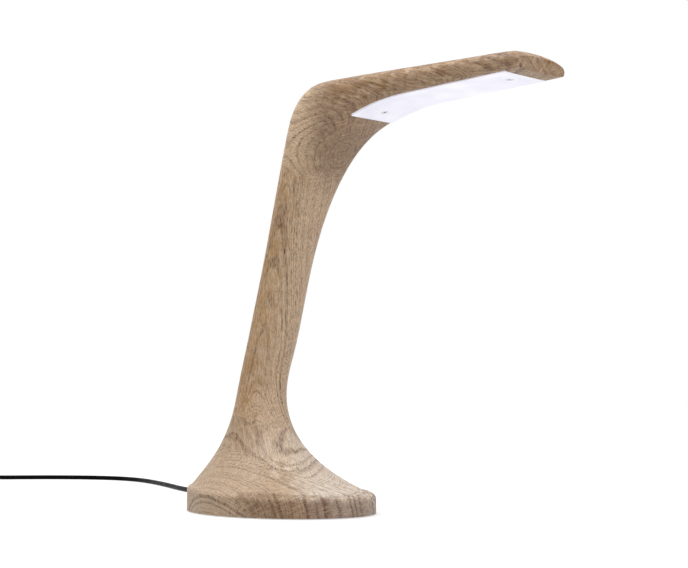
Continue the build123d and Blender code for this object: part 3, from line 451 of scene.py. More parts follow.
class WoodFigure(Effect):
    """Growth rings, rays, pores and fibres of wood, cut open at any angle.

    The grain runs along Z of the point that it is given, and the heart of the tree is at X 0, Y 0.
    A size is one step of noise in metres, twice across the grain and then along it. A pair of
    limits is where a mask leaves 0 and where it reaches 1.
    """

    name = "wood_figure"
    inputs = (
        Port("Grain Point", Kind.VECTOR),
        Port("Ring Width", start=0.0032),
        Port("Ring Wave", start=0.0018),
        Port("Pore Pitch", start=0.0018),
        Port("Pore Length", start=0.0085),
    )
    outputs = tuple(Port(label) for label in ("Ring", "Pore", "Ray", "Fibre", "Streak", "Height"))

    slow_wave_size = (0.055, 0.055, 0.16)
    slow_wave_gain = 4.0
    quick_wave_size = (0.011, 0.011, 0.05)
    quick_wave = 0.0022
    crowding_pace = 0.23
    crowding = 5.0
    ring_fade = (0.05, 0.42)
    ring_onset = (0.86, 1.0)
    weight_pace = 0.6
    weight_limits = (0.32, 0.66)
    ray_radius = 0.11
    ray_size = (0.012, 0.0011, 0.02)
    ray_limits = (0.56, 0.68)
    pore_limits = (0.50, 0.26)
    patch_size = (0.007, 0.007, 0.02)
    patch_limits = (0.36, 0.62)
    faint = 0.5
    pore_off_ring = 0.25
    speck_size = (0.0009, 0.0009, 0.0035)
    speck_limits = (0.44, 0.24)
    speck_share = 0.5
    ray_hides_pore = 0.8
    scatter = 0.95
    fibre_size = (0.0008, 0.0008, 0.02)
    fibre_limits = (0.3, 0.7)
    streak_size = (0.0032, 0.0032, 0.07)
    streak_limits = (0.34, 0.66)
    pore_sinks = 0.7
    fibre_rises = 0.25

    def wire(self, graph: Graph, given: dict[str, Socket]) -> dict[str, Feed]:
        """Build rings first, then the rays and pores that follow them.

        Args:
            graph: the group's own tree.
            given: its inputs by label.

        Returns:
            What goes to each output, by label.
        """
        parts = graph.split(given["Grain Point"])
        across = graph.join(parts[0], parts[1], 0.0)
        slow = graph.centred(graph.noise(graph.stretch(parts, self.slow_wave_size), detail=1.5))
        quick = graph.centred(graph.noise(graph.stretch(parts, self.quick_wave_size), detail=1.0))
        sway = graph.math("MULTIPLY", slow, given["Ring Wave"])
        sway = graph.math("MULTIPLY", sway, self.slow_wave_gain)
        sway = graph.math("ADD", sway, graph.math("MULTIPLY", quick, self.quick_wave))
        radius = graph.math("ADD", graph.vector("LENGTH", across), sway)
        count = graph.math("DIVIDE", radius, given["Ring Width"])
        pace = graph.math("MULTIPLY", count, self.crowding_pace)
        uneven = graph.centred(graph.noise_along(pace, 2.0))
        count = graph.math("ADD", count, graph.math("MULTIPLY", uneven, self.crowding))
        phase = graph.math("FRACT", count)
        fade = graph.ease(phase, *self.ring_fade, 1.0, 0.0)
        ring = graph.math("MAXIMUM", fade, graph.ease(phase, *self.ring_onset))
        weight = graph.noise_along(graph.math("MULTIPLY", count, self.weight_pace))
        weight = graph.ease(weight, *self.weight_limits, self.faint, 1.0)
        ring = graph.math("MULTIPLY", ring, weight)

        turn = graph.math("ARCTAN2", parts[1], parts[0])
        arc = graph.math("MULTIPLY", turn, self.ray_radius)
        ray_field = graph.noise(graph.stretch((radius, arc, parts[2]), self.ray_size), detail=1.0)
        ray = graph.ease(ray_field, *self.ray_limits)

        pore_size = (given["Pore Pitch"], given["Pore Pitch"], given["Pore Length"])
        spots = graph.cells(graph.stretch(parts, pore_size), loose=self.scatter)
        patch = graph.noise(graph.stretch(parts, self.patch_size))
        patch = graph.ease(patch, *self.patch_limits, self.faint, 1.0)
        pore = graph.math("MULTIPLY", graph.ease(spots, *self.pore_limits), patch)
        on_ring = graph.math("MULTIPLY_ADD", ring, 1.0 - self.pore_off_ring, self.pore_off_ring)
        pore = graph.math("MULTIPLY", pore, on_ring)
        specks = graph.cells(graph.stretch(parts, self.speck_size), loose=self.scatter)
        specks = graph.math("MULTIPLY", graph.ease(specks, *self.speck_limits), self.speck_share)
        pore = graph.math("MAXIMUM", pore, specks)
        off_ray = graph.math("MULTIPLY_ADD", ray, -self.ray_hides_pore, 1.0)
        pore = graph.math("MULTIPLY", pore, off_ray)

        fibre = graph.noise(graph.stretch(parts, self.fibre_size), detail=3.0, rough=0.6)
        streak = graph.noise(graph.stretch(parts, self.streak_size), detail=2.0)
        height = graph.math("MULTIPLY_ADD", fibre, self.fibre_rises, self.pore_sinks)
        height = graph.math("MULTIPLY_ADD", pore, -self.pore_sinks, height)
        return {
            "Ring": ring,
            "Pore": pore,
            "Ray": ray,
            "Fibre": graph.ease(fibre, *self.fibre_limits),
            "Streak": graph.ease(streak, *self.streak_limits),
            "Height": height,
        }


class MouldGrain(Effect):
    """Fine sparked texture of a mould, with faint cloudy patches in the plastic."""

    name = "mould_grain"
    inputs = (
        Port("Point", Kind.VECTOR),
        Port("Grain Size", start=0.0004),
        Port("Cloud Size", start=0.012),
    )
    outputs = (Port("Cloud"), Port("Height"))

    pit_share = 0.5
    cloud_limits = (0.3, 0.7)

    def wire(self, graph: Graph, given: dict[str, Socket]) -> dict[str, Feed]:
        """Build the texture from pits and two layers of noise.

        Args:
            graph: the group's own tree.
            given: its inputs by label.

        Returns:
            What goes to each output, by label.
        """
        fine, wide = (
            graph.vector("SCALE", given["Point"], scale=graph.math("DIVIDE", 1.0, given[size]))
            for size in ("Grain Size", "Cloud Size")
        )
        pits = graph.math("MULTIPLY", graph.cells(fine), self.pit_share)
        grain = graph.noise(fine, detail=3.0, rough=0.6)
        height = graph.math("ADD", pits, graph.math("MULTIPLY", grain, 1.0 - self.pit_share))
        cloud = graph.ease(graph.noise(wide, detail=3.0), *self.cloud_limits)
        return {"Cloud": cloud, "Height": height}


class BrushLines(Effect):
    """Drawn or brushed lines on metal, along X of the point that it is given."""

    name = "brush_lines"
    inputs = (
        Port("Point", Kind.VECTOR),
        Port("Line Width", start=0.00025),
        Port("Line Length", start=0.02),
    )
    outputs = (Port("Line"), Port("Tarnish"))

    line_limits = (0.3, 0.7)
    patches_per_metre = 90.0
    patch_limits = (0.42, 0.68)

    def wire(self, graph: Graph, given: dict[str, Socket]) -> dict[str, Feed]:
        """Build stretched noise for the lines and loose patches for the tarnish.

        Args:
            graph: the group's own tree.
            given: its inputs by label.

        Returns:
            What goes to each output, by label.
        """
        parts = graph.split(given["Point"])
        sizes = (given["Line Length"], given["Line Width"], given["Line Width"])
        line = graph.noise(graph.stretch(parts, sizes), detail=3.0, rough=0.65)
        patch = graph.noise(given["Point"], self.patches_per_metre, detail=4.0, rough=0.6)
        return {
            "Line": graph.ease(line, *self.line_limits),
            "Tarnish": graph.ease(patch, *self.patch_limits),
        }


class FeltFibres(Effect):
    """Matted fibres, or the loops of a woven tape, with tufts that catch the light."""

    name = "felt_fibres"
    inputs = (
        Port("Point", Kind.VECTOR),
        Port("Fibre Width", start=0.0003),
        Port("Fibre Length", start=0.004),
    )
    outputs = (Port("Tuft"), Port("Height"))

    swirls_per_metre = 160.0
    swirl_reach = 0.004
    tufts_per_metre = 420.0
    tuft_limits = (0.35, 0.65)

    def wire(self, graph: Graph, given: dict[str, Socket]) -> dict[str, Feed]:
        """Lay two sets of fibres across each other.

        Args:
            graph: the group's own tree.
            given: its inputs by label.

        Returns:
            What goes to each output, by label.
        """
        swirl = graph.noise(given["Point"], self.swirls_per_metre)
        shift = graph.vector("SCALE", graph.join(swirl, swirl, swirl), scale=self.swirl_reach)
        parts = graph.split(graph.vector("ADD", given["Point"], shift))
        width, length = given["Fibre Width"], given["Fibre Length"]
        one, other = (
            graph.noise(graph.stretch(parts, sizes))
            for sizes in ((length, width, width), (width, length, width))
        )
        tuft = graph.noise(given["Point"], self.tufts_per_metre, detail=3.0)
        return {
            "Tuft": graph.ease(tuft, *self.tuft_limits),
            "Height": graph.math("MAXIMUM", one, other),
        }


class Handling(Effect):
    """Finger marks and a little dust that change the gloss from place to place."""

    name = "handling"
    inputs = (Port("Point", Kind.VECTOR),)
    outputs = (Port("Mark"), Port("Dust"))

    marks_per_metre = 42.0
    mark_limits = (0.42, 0.66)
    specks_per_metre = 1500.0
    speck_limits = (0.60, 0.74)

    def wire(self, graph: Graph, given: dict[str, Socket]) -> dict[str, Feed]:
        """Build broad marks and fine specks.

        Args:
            graph: the group's own tree.
            given: its inputs by label.

        Returns:
            What goes to each output, by label.
        """
        mark = graph.noise(given["Point"], self.marks_per_metre, detail=4.0, rough=0.55)
        speck = graph.noise(given["Point"], self.specks_per_metre, detail=2.0, rough=0.7)
        return {
            "Mark": graph.ease(mark, *self.mark_limits),
            "Dust": graph.ease(speck, *self.speck_limits),
        }


class EdgeWear(Effect):
    """Where a piece has a sharp edge that rubs bright or pale first."""

    name = "edge_wear"
    inputs = (Port("Point", Kind.VECTOR), Port("Reach", start=0.0006))
    outputs = (Port("Edge"),)

    turn_limits = (0.995, 0.93)
    breaks_per_metre = 700.0
    break_limits = (0.38, 0.6)

    def wire(self, graph: Graph, given: dict[str, Socket]) -> dict[str, Feed]:
        """Compare the rounded normal with the true one, and break the result up.

        Args:
            graph: the group's own tree.
            given: its inputs by label.

        Returns:
            What goes to each output, by label.
        """
        bevel = graph.add("ShaderNodeBevel", samples=4)
        graph.feed(bevel.inputs["Radius"], given["Reach"])
        flat = graph.add("ShaderNodeNewGeometry").outputs["Normal"]
        same = graph.vector("DOT_PRODUCT", bevel.outputs[0], flat)
        broken = graph.noise(given["Point"], self.breaks_per_metre, detail=2.0)
        broken = graph.ease(broken, *self.break_limits)
        return {"Edge": graph.math("MULTIPLY", graph.ease(same, *self.turn_limits), broken)}


FIGURE = WoodFigure()
MOULD = MouldGrain()
BRUSH = BrushLines()
FELT = FeltFibres()
HANDLING = Handling()
WEAR = EdgeWear()


@dataclass(frozen=True)
class Finish:
    """A surface finish. Each one makes a material of its own name."""

    name: str

    def shade(self, graph: Graph, shader: bpy.types.Node) -> None:
        """Fill the material's tree.

        Args:
            graph: the material's tree.
            shader: its Principled shader.
        """
        raise NotImplementedError

    def material(self) -> bpy.types.Material:
        """Give the finish's material, and build it the first time.

        Returns:
            The material.
        """
        found = bpy.data.materials.get(self.name)
        if found is not None:
            return found
        made = bpy.data.materials.new(self.name)
        made.use_nodes = True
        made.node_tree.nodes.clear()
        graph = Graph(made.node_tree)
        shader = graph.add("ShaderNodeBsdfPrincipled")
        leave = graph.add("ShaderNodeOutputMaterial")
        graph.feed(leave.inputs["Surface"], shader.outputs[0])
        self.shade(graph, shader)
        return made


@dataclass(frozen=True)
class GrainFrame:
    """Where the heart of the tree runs past a board: a point on it and the grain's direction."""

    heart: Point
    grain: Point

    def point(self, graph: Graph, place: Feed) -> Socket:
        """Turn a place on the piece into a place in the tree.

        Args:
            graph: the material's tree.
            place: the place on the piece.

        Returns:
            The place with Z along the grain and the heart at X 0, Y 0.
        """
        node = graph.add("ShaderNodeMapping", vector_type="TEXTURE")
        turn = Vector(self.grain).normalized().to_track_quat("Z", "Y").to_euler()
        graph.fill(node, {"Location": self.heart, "Rotation": turn, "Vector": place})
        return node.outputs[0]


@dataclass(frozen=True)
class Border:
    """A plane where something starts, given by a point on it and its normal.

    The change is as wide as width, in metres, and loose says how far it follows the wander.
    """

    start: Point
    normal: Point
    width: float
    loose: float = 1.0

    def passed(self, graph: Graph, place: Feed, wander: Feed) -> Socket:
        """How far a place is past the border, 0 to 1.

        Args:
            graph: the material's tree.
            place: the place on the piece.
            wander: a distance that makes the border uneven.

        Returns:
            The share.
        """
        away = graph.vector("DOT_PRODUCT", graph.vector("SUBTRACT", place, self.start), self.normal)
        away = graph.math("ADD", away, graph.math("MULTIPLY", wander, self.loose))
        return graph.ease(away, -self.width / 2, self.width / 2)


@dataclass(frozen=True)
class Board:
    """One stretch of the body with its own grain, and a second colour on its far side that is
    partly the wood's tone and partly painted light and shade.

    The first stretch has no border where it begins.
    """

    frame: GrainFrame
    tone: Colour
    # Far side colour: partly wood tone, partly painted highlight where light falls and painted
    # shade where it turns away.
    far_tone_and_painted_light: Colour
    change: Border
    ring_width: float
    ring_depth: float
    begins: Optional[Border] = None

    def paint(self, graph: Graph, place: Feed, wander: Feed) -> Socket:
        """The board's colour at a place, with the painted light and shade of its near and far
        sides.

        Args:
            graph: the material's tree.
            place: the place on the piece.
            wander: a distance that makes the change of tone and painted light uneven.

        Returns:
            The colour.
        """
        return graph.paint(self.change.passed(graph, place, wander), self.tone, self.far_tone_and_painted_light)


@dataclass(frozen=True)
class OakFinish(Finish):
    """Oiled oak in stretches: their tones, which hold painted light and shade as well as the wood's
    colour, run into each other, and their figure meets raggedly.
    """

    boards: tuple[Board, ...] = ()
    pale: Colour = srgb(224, 195, 158)
    streak: Colour = srgb(112, 76, 48)
    pore: Colour = srgb(62, 38, 24)
    wanders_per_metre: float = 95.0
    wander: float = 0.05
    tears_per_metre: float = 420.0
    streak_share: float = 0.30
    ray_share: float = 0.34
    pore_share: float = 0.85
    darkest_fibre: float = 0.79
    fibre_lift: float = 0.42
    rough: float = 0.44
    mark_dulls: float = 0.08
    pore_dulls: float = 0.25
    shine: float = 0.35
    depth: float = 0.00025
    relief: float = 0.6

    def shade(self, graph: Graph, shader: bpy.types.Node) -> None:
        """Pick every place's board, read its grain there and colour the result.

        Args:
            graph: the material's tree.
            shader: its Principled shader.
        """
        place = graph.place()
        drift = graph.centred(graph.noise(place, self.wanders_per_metre, 3.0))
        wander = graph.math("MULTIPLY", drift, self.wander)
        ragged = graph.centred(graph.noise(place, self.tears_per_metre))
        first = self.boards[0]
        grain, tone = first.frame.point(graph, place), first.paint(graph, place, wander)
        width, depth = first.ring_width, first.ring_depth
        for board in self.boards[1:]:
            share = board.begins.passed(graph, place, wander)
            torn = graph.math("GREATER_THAN", graph.math("ADD", share, ragged), 0.5)
            grain = graph.choose(torn, grain, board.frame.point(graph, place))
            width = graph.between(torn, width, board.ring_width)
            depth = graph.between(share, depth, board.ring_depth)
            tone = graph.paint(share, tone, board.paint(graph, place, wander))
        seen = FIGURE.use(graph, {"Grain Point": grain, "Ring Width": width})

        tone = graph.tint(tone, seen["Streak"], self.streak_share, self.pale)
        tone = graph.tint(tone, seen["Ring"], depth, self.streak)
        tone = graph.tint(tone, seen["Ray"], self.ray_share, self.pale)
        tone = graph.tint(tone, seen["Pore"], self.pore_share, self.pore)
        light = graph.math("MULTIPLY_ADD", seen["Fibre"], self.fibre_lift, self.darkest_fibre)
        tone = graph.vector("SCALE", tone, scale=light)

        mark = HANDLING.use(graph, {"Point": place})["Mark"]
        rough = graph.math("MULTIPLY_ADD", mark, self.mark_dulls, self.rough)
        rough = graph.math("MULTIPLY_ADD", seen["Pore"], self.pore_dulls, rough)
        graph.fill(shader, {
            "Base Color": tone,
            "Roughness": rough,
            "Specular IOR Level": self.shine,
            "Normal": graph.bump(seen["Height"], self.depth, self.relief),
        })


@dataclass(frozen=True)
class BeechFinish(Finish):
    """Plain beech of a dowel: tight rings and short dark flecks."""

    wood: Colour = srgb(214, 176, 140)
    fleck: Colour = srgb(150, 104, 74)
    grain: GrainFrame = GrainFrame((0.09, 0.02, 0.366), (0.309, 0.0, 0.951))
    ring_width: float = 0.0016
    ring_wave: float = 0.001
    pore_pitch: float = 0.0006
    pore_length: float = 0.002
    ring_share: float = 0.25
    pore_share: float = 0.8
    rough: float = 0.5
    fibre_dulls: float = 0.1
    depth: float = 0.0001
    relief: float = 0.5

    def shade(self, graph: Graph, shader: bpy.types.Node) -> None:
        """Use the wood figure with beech's own sizes.

        Args:
            graph: the material's tree.
            shader: its Principled shader.
        """
        feeds = {
            "Grain Point": self.grain.point(graph, graph.place()),
            "Ring Width": self.ring_width,
            "Ring Wave": self.ring_wave,
            "Pore Pitch": self.pore_pitch,
            "Pore Length": self.pore_length,
        }
        seen = FIGURE.use(graph, feeds)
        tone = graph.tint(self.wood, seen["Ring"], self.ring_share, self.fleck)
        graph.fill(shader, {
            "Base Color": graph.tint(tone, seen["Pore"], self.pore_share, self.fleck),
            "Roughness": graph.math("MULTIPLY_ADD", seen["Fibre"], self.fibre_dulls, self.rough),
            "Normal": graph.bump(seen["Height"], self.depth, self.relief),
        })


@dataclass(frozen=True)
class MouldedFinish(Finish):
    """Moulded plastic or rubber with the texture of its mould and pale, rubbed edges."""

    colour: Colour
    worn: Colour
    rough: float = 0.45
    grain: float = 0.0004
    depth: float = 0.00002
    rubbed: float = 0.35
    shine: float = 0.5
    dust: float = 0.08
    cloud: float = 0.12
    polish: float = 0.05
    mark_dulls: float = 0.14
    relief: float = 0.7

    def shade(self, graph: Graph, shader: bpy.types.Node) -> None:
        """Colour the plastic, cloud it a little and rub its edges.

        Args:
            graph: the material's tree.
            shader: its Principled shader.
        """
        place = graph.place()
        mould = MOULD.use(graph, {"Point": place, "Grain Size": self.grain})
        hands = HANDLING.use(graph, {"Point": place})
        edge = WEAR.use(graph, {"Point": place})["Edge"]
        tone = graph.tint(self.colour, mould["Cloud"], self.cloud, self.worn)
        tone = graph.tint(tone, edge, self.rubbed, self.worn)
        rough = self.rough - self.polish
        graph.fill(shader, {
            "Base Color": graph.tint(tone, hands["Dust"], self.dust, DUST),
            "Roughness": graph.math("MULTIPLY_ADD", hands["Mark"], self.mark_dulls, rough),
            "Specular IOR Level": self.shine,
            "Normal": graph.bump(mould["Height"], self.depth, self.relief),
        })


@dataclass(frozen=True)
class MetalFinish(Finish):
    """Metal with drawn lines, a little tarnish and bright edges."""

    colour: Colour
    dull: Colour
    bright: Colour
    rough: float = 0.32
    metallic: float = 1.0
    line: float = 0.00025
    depth: float = 0.00001
    edge_reach: float = 0.0004
    tarnish: float = 0.5
    line_share: float = 0.25
    edge_share: float = 0.6
    polish: float = 0.06
    line_dulls: float = 0.12
    mark_dulls: float = 0.1
    relief: float = 0.5

    def shade(self, graph: Graph, shader: bpy.types.Node) -> None:
        """Colour the metal by its lines, its tarnish and its edges.

        Args:
            graph: the material's tree.
            shader: its Principled shader.
        """
        place = graph.place()
        brush = BRUSH.use(graph, {"Point": place, "Line Width": self.line})
        hands = HANDLING.use(graph, {"Point": place})
        edge = WEAR.use(graph, {"Point": place, "Reach": self.edge_reach})["Edge"]
        tone = graph.tint(self.colour, brush["Tarnish"], self.tarnish, self.dull)
        tone = graph.tint(tone, brush["Line"], self.line_share, self.dull)
        rough = self.rough - self.polish
        rough = graph.math("MULTIPLY_ADD", brush["Line"], self.line_dulls, rough)
        graph.fill(shader, {
            "Base Color": graph.tint(tone, edge, self.edge_share, self.bright),
            "Metallic": self.metallic,
            "Roughness": graph.math("MULTIPLY_ADD", hands["Mark"], self.mark_dulls, rough),
            "Normal": graph.bump(brush["Line"], self.depth, self.relief),
        })


@dataclass(frozen=True)
class FeltFinish(Finish):
    """Felt, foam or a woven tape."""

    colour: Colour
    tip_highlight: Colour
    fibre: float = 0.0003
    length: float = 0.004
    depth: float = 0.0002
    tip_limits: tuple[float, float] = (0.4, 0.7)
    tuft_highlight_share: float = 0.3
    rough: float = 0.85
    tuft_dulls: float = 0.1
    sheen: float = 0.3
    relief: float = 0.8

    def shade(self, graph: Graph, shader: bpy.types.Node) -> None:
        """Colour the fibres, painting raised fibres and tufts lighter as painted highlight, and
        raise them.

        Args:
            graph: the material's tree.
            shader: its Principled shader.
        """
        place = graph.place()
        feeds = {"Point": place, "Fibre Width": self.fibre, "Fibre Length": self.length}
        felt = FELT.use(graph, feeds)
        # Painted light: raised fibres and tufts get the lighter tip colour as painted highlight;
        # hollows keep the darker colour as painted shade.
        tips = graph.ease(felt["Height"], *self.tip_limits)
        tone = graph.paint(tips, self.colour, self.tip_highlight)
        graph.fill(shader, {
            "Base Color": graph.tint(tone, felt["Tuft"], self.tuft_highlight_share, self.tip_highlight),
            "Roughness": graph.math("MULTIPLY_ADD", felt["Tuft"], self.tuft_dulls, self.rough),
            "Sheen Weight": self.sheen,
            "Normal": graph.bump(felt["Height"], self.depth, self.relief),
        })


@dataclass(frozen=True)
class OpalFinish(Finish):
    """Opal acrylic, lit from behind: white with a cool tint and a hardly visible texture."""

    colour: Colour = srgb(226, 225, 234)
    cool: Colour = srgb(216, 216, 232)
    glow: Colour = srgb(244, 243, 255)
    strength: float = 0.43
    grain: float = 0.0003
    cloud_size: float = 0.03
    rough: float = 0.34
    mark_dulls: float = 0.1
    depth: float = 0.00001
    relief: float = 0.4

    def shade(self, graph: Graph, shader: bpy.types.Node) -> None:
        """Colour the acrylic and let it glow evenly.

        Args:
            graph: the material's tree.
            shader: its Principled shader.
        """
        place = graph.place()
        feeds = {"Point": place, "Grain Size": self.grain, "Cloud Size": self.cloud_size}
        mould = MOULD.use(graph, feeds)
        mark = HANDLING.use(graph, {"Point": place})["Mark"]
        graph.fill(shader, {
            "Base Color": graph.paint(mould["Cloud"], self.colour, self.cool),
            "Emission Color": graph.paint(mould["Cloud"], self.glow, self.colour),
            "Emission Strength": self.strength,
            "Roughness": graph.math("MULTIPLY_ADD", mark, self.mark_dulls, self.rough),
            "Normal": graph.bump(mould["Height"], self.depth, self.relief),
        })


@dataclass(frozen=True)
class GlowFinish(Finish):
    """Yellow phosphor of a light chip in its pale frame."""

    colour: Colour = srgb(232, 208, 96)
    rim: Colour = srgb(238, 232, 200)
    strength: float = 0.6
    grain: float = 0.00015
    cloud_size: float = 0.003
    rough: float = 0.4
    cloud_dulls: float = 0.1
    depth: float = 0.00002
    relief: float = 0.5

    def shade(self, graph: Graph, shader: bpy.types.Node) -> None:
        """Colour the phosphor with its fine powder.

        Args:
            graph: the material's tree.
            shader: its Principled shader.
        """
        feeds = {"Point": graph.place(), "Grain Size": self.grain, "Cloud Size": self.cloud_size}
        mould = MOULD.use(graph, feeds)
        tone = graph.paint(mould["Cloud"], self.colour, self.rim)
        graph.fill(shader, {
            "Base Color": tone,
            "Emission Color": tone,
            "Emission Strength": self.strength,
            "Roughness": graph.math("MULTIPLY_ADD", mould["Cloud"], self.cloud_dulls, self.rough),
            "Normal": graph.bump(mould["Height"], self.depth, self.relief),
        })


@dataclass(frozen=True)
class BoardFinish(Finish):
    """Circuit board: resin over copper tracks and pads."""

    resin: Colour = srgb(28, 84, 52)
    track: Colour = srgb(44, 112, 66)
    pad: Colour = srgb(190, 184, 168)
    grain: float = 0.0005
    track_pitch: float = 0.0016
    track_edge: tuple[float, float] = (0.0003, 0.0004)
    along: float = 60.0
    runs: float = 12.0
    run_limits: tuple[float, float] = (0.46, 0.5)
    pads_per_metre: float = 260.0
    pad_scatter: float = 0.25
    pad_limits: tuple[float, float] = (0.24, 0.2)
    clusters_per_metre: float = 110.0
    cluster_limits: tuple[float, float] = (0.5, 0.56)
    rough: float = 0.3
    cloud_dulls: float = 0.1
    grain_share: float = 0.2
    depth: float = 0.00004
    relief: float = 0.7

    def shade(self, graph: Graph, shader: bpy.types.Node) -> None:
        """Lay tracks along both directions and pads between them.

        Args:
            graph: the material's tree.
            shader: its Principled shader.
        """
        place = graph.place()
        x, y, z = graph.split(place)
        mould = MOULD.use(graph, {"Point": place, "Grain Size": self.grain})
        row = graph.math("SNAP", y, self.track_pitch)
        runs = graph.join(graph.math("MULTIPLY", x, self.along), row, z)
        runs = graph.ease(graph.noise(runs, self.runs, 0.0), *self.run_limits)
        line = graph.math("PINGPONG", y, self.track_pitch / 2)
        track = graph.math("MULTIPLY", graph.ease(line, *self.track_edge), runs)
        dots = graph.cells(place, self.pads_per_metre, self.pad_scatter)
        clusters = graph.noise(place, self.clusters_per_metre, 1.0)
        clusters = graph.ease(clusters, *self.cluster_limits)
        pads = graph.math("MULTIPLY", graph.ease(dots, *self.pad_limits), clusters)
        tone = graph.paint(track, self.resin, self.track)
        fine = graph.math("MULTIPLY", mould["Height"], self.grain_share)
        height = graph.math("ADD", track, fine)
        graph.fill(shader, {
            "Base Color": graph.paint(pads, tone, self.pad),
            "Roughness": graph.math("MULTIPLY_ADD", mould["Cloud"], self.cloud_dulls, self.rough),
            "Normal": graph.bump(height, self.depth, self.relief),
        })


@dataclass(frozen=True)
class FloorFinish(Finish):
    """White paper floor that the camera sees as white, and that still takes the lamp's shadow."""

    paper: Colour = (0.60, 0.60, 0.60, 1.0)
    cloud: Colour = (0.58, 0.58, 0.59, 1.0)
    fill: float = 0.82
    near_fill: float = 0.67
    near: float = 0.6
    far: float = 2.0
    grain: float = 0.003
    cloud_size: float = 0.4
    cloud_share: float = 0.02
    rough: float = 0.9
    shine: float = 0.1

    def shade(self, graph: Graph, shader: bpy.types.Node) -> None:
        """Brighten the paper for the camera and for reflections only, and less near the lamp.

        Args:
            graph: the material's tree.
            shader: its Principled shader.
        """
        place = graph.place()
        feeds = {"Point": place, "Grain Size": self.grain, "Cloud Size": self.cloud_size}
        cloud = MOULD.use(graph, feeds)["Cloud"]
        away = graph.vector("LENGTH", place)
        level = graph.ease(away, self.near, self.far, self.near_fill, 1.0)
        graph.fill(shader, {
            "Base Color": graph.tint(self.paper, cloud, self.cloud_share, self.cloud),
            "Roughness": self.rough,
            "Specular IOR Level": self.shine,
            "Emission Color": graph.math("MULTIPLY", graph.seen(), level),
            "Emission Strength": self.fill,
        })


DUST = srgb(190, 184, 176)
# SIDEWAYS runs left to right across the camera's view. Most boards change colour across it, so
# their two tones are partly the wood's own and partly painted light and shade.
SIDEWAYS = (0.643, 0.766, 0.0)
FOOT_GRAIN = GrainFrame((0.018, -0.072, -0.076), (0.598, 0.712, -0.36))
RIM_GRAIN = GrainFrame((-0.005, -0.099, -0.018), (0.766, -0.643, 0.0))
OAK = OakFinish(
    "oiled_oak",
    boards=(
        Board(
            frame=FOOT_GRAIN,
            tone=srgb(194, 168, 142),
            # Painted shade: the foot's right side is darker.
            far_tone_and_painted_light=srgb(170, 143, 120),
            change=Border((-0.03, 0.0, 0.0), SIDEWAYS, 0.03),
            ring_width=0.0033,
            ring_depth=0.5,
        ),
        Board(
            frame=RIM_GRAIN,
            tone=srgb(144, 114, 90),
            far_tone_and_painted_light=srgb(164, 134, 108),
            change=Border((0.012, 0.0, 0.0), SIDEWAYS, 0.02),
            ring_width=0.0035,
            ring_depth=0.6,
            begins=Border((-0.024, -0.028, 0.0), SIDEWAYS, 0.02),
        ),
        Board(
            frame=RIM_GRAIN,
            tone=srgb(152, 122, 102),
            far_tone_and_painted_light=srgb(172, 151, 138),
            change=Border((0.06, 0.0, 0.0), SIDEWAYS, 0.05),
            ring_width=0.0095,
            ring_depth=0.75,
            begins=Border((0.014, 0.016, 0.0), SIDEWAYS, 0.012, 0.4),
        ),
        Board(
            frame=FOOT_GRAIN,
            tone=srgb(187, 160, 133),
            # Painted highlight: the flare's right side is pale.
            far_tone_and_painted_light=srgb(240, 228, 214),
            change=Border((0.03, 0.0, 0.0), SIDEWAYS, 0.05),
            ring_width=0.0033,
            ring_depth=0.4,
            begins=Border((0.0, 0.0, 0.0265), (0.06, 0.0, 1.0), 0.005, 0.12),
        ),
        Board(
            frame=GrainFrame((-0.0589, 0.0219, 0.1037), (-0.583, 0.244, 0.775)),
            tone=srgb(174, 146, 118),
            # Painted light: the neck's right side is pale.
            far_tone_and_painted_light=srgb(234, 214, 195),
            change=Border((-0.018, 0.0, 0.0), SIDEWAYS, 0.05),
            ring_width=0.0035,
            ring_depth=0.45,
            begins=Border((0.0, 0.0, 0.050), (0.25, 0.15, 0.95), 0.02),
        ),
        Board(
            frame=GrainFrame((0.0038, -0.0488, 0.0397), (0.138, -0.176, 0.975)),
            tone=srgb(186, 145, 98),
            # Painted light: the neck's far side is pale.
            far_tone_and_painted_light=srgb(222, 192, 162),
            change=Border((-0.068, 0.0, 0.05), (0.643, 0.766, -0.209), 0.04),
            ring_width=0.0029,
            ring_depth=0.36,
            begins=Border((-0.02, 0.0, 0.092), (0.3, 0.0, 0.954), 0.024),
        ),
        Board(
            frame=GrainFrame((0.0186, 0.0222, 0.371), (0.95, -0.25, -0.18)),
            # Painted light and shade: the elbow's left is painted lit, its right painted shaded.
            tone=srgb(224, 193, 158),
            far_tone_and_painted_light=srgb(156, 127, 103),
            change=Border((0.046, 0.0, 0.36), SIDEWAYS, 0.03, 0.6),
            ring_width=0.0038,
            ring_depth=0.4,
            begins=Border((0.050, 0.0, 0.340), (0.3, 0.0, 0.954), 0.06),
        ),
        Board(
            frame=GrainFrame((0.1846, -0.201, 0.201), (0.923, -0.07, -0.378)),
            tone=srgb(146, 108, 68),
            far_tone_and_painted_light=srgb(172, 140, 112),
            change=Border((0.2, 0.0, 0.405), (0.03, 0.0, -1.0), 0.008),
            ring_width=0.0042,
            ring_depth=0.5,
            begins=Border((0.10, 0.0, 0.41), (0.966, 0.0, 0.259), 0.04),
        ),
    ),
)
BEECH = BeechFinish("dowel_beech")
FELT_PAD = FeltFinish("black_felt", srgb(26, 26, 27), srgb(58, 57, 58))
FOAM_TAPE = FeltFinish(
    "foam_tape_white",
    srgb(196, 192, 184),
    srgb(226, 223, 216),
    fibre=0.0005,
    length=0.0006,
    depth=0.0001,
)
TIE_FABRIC = FeltFinish(
    "tie_fabric_black",
    srgb(20, 20, 21),
    srgb(52, 52, 54),
    fibre=0.0002,
    length=0.0007,
    depth=0.00012,
)
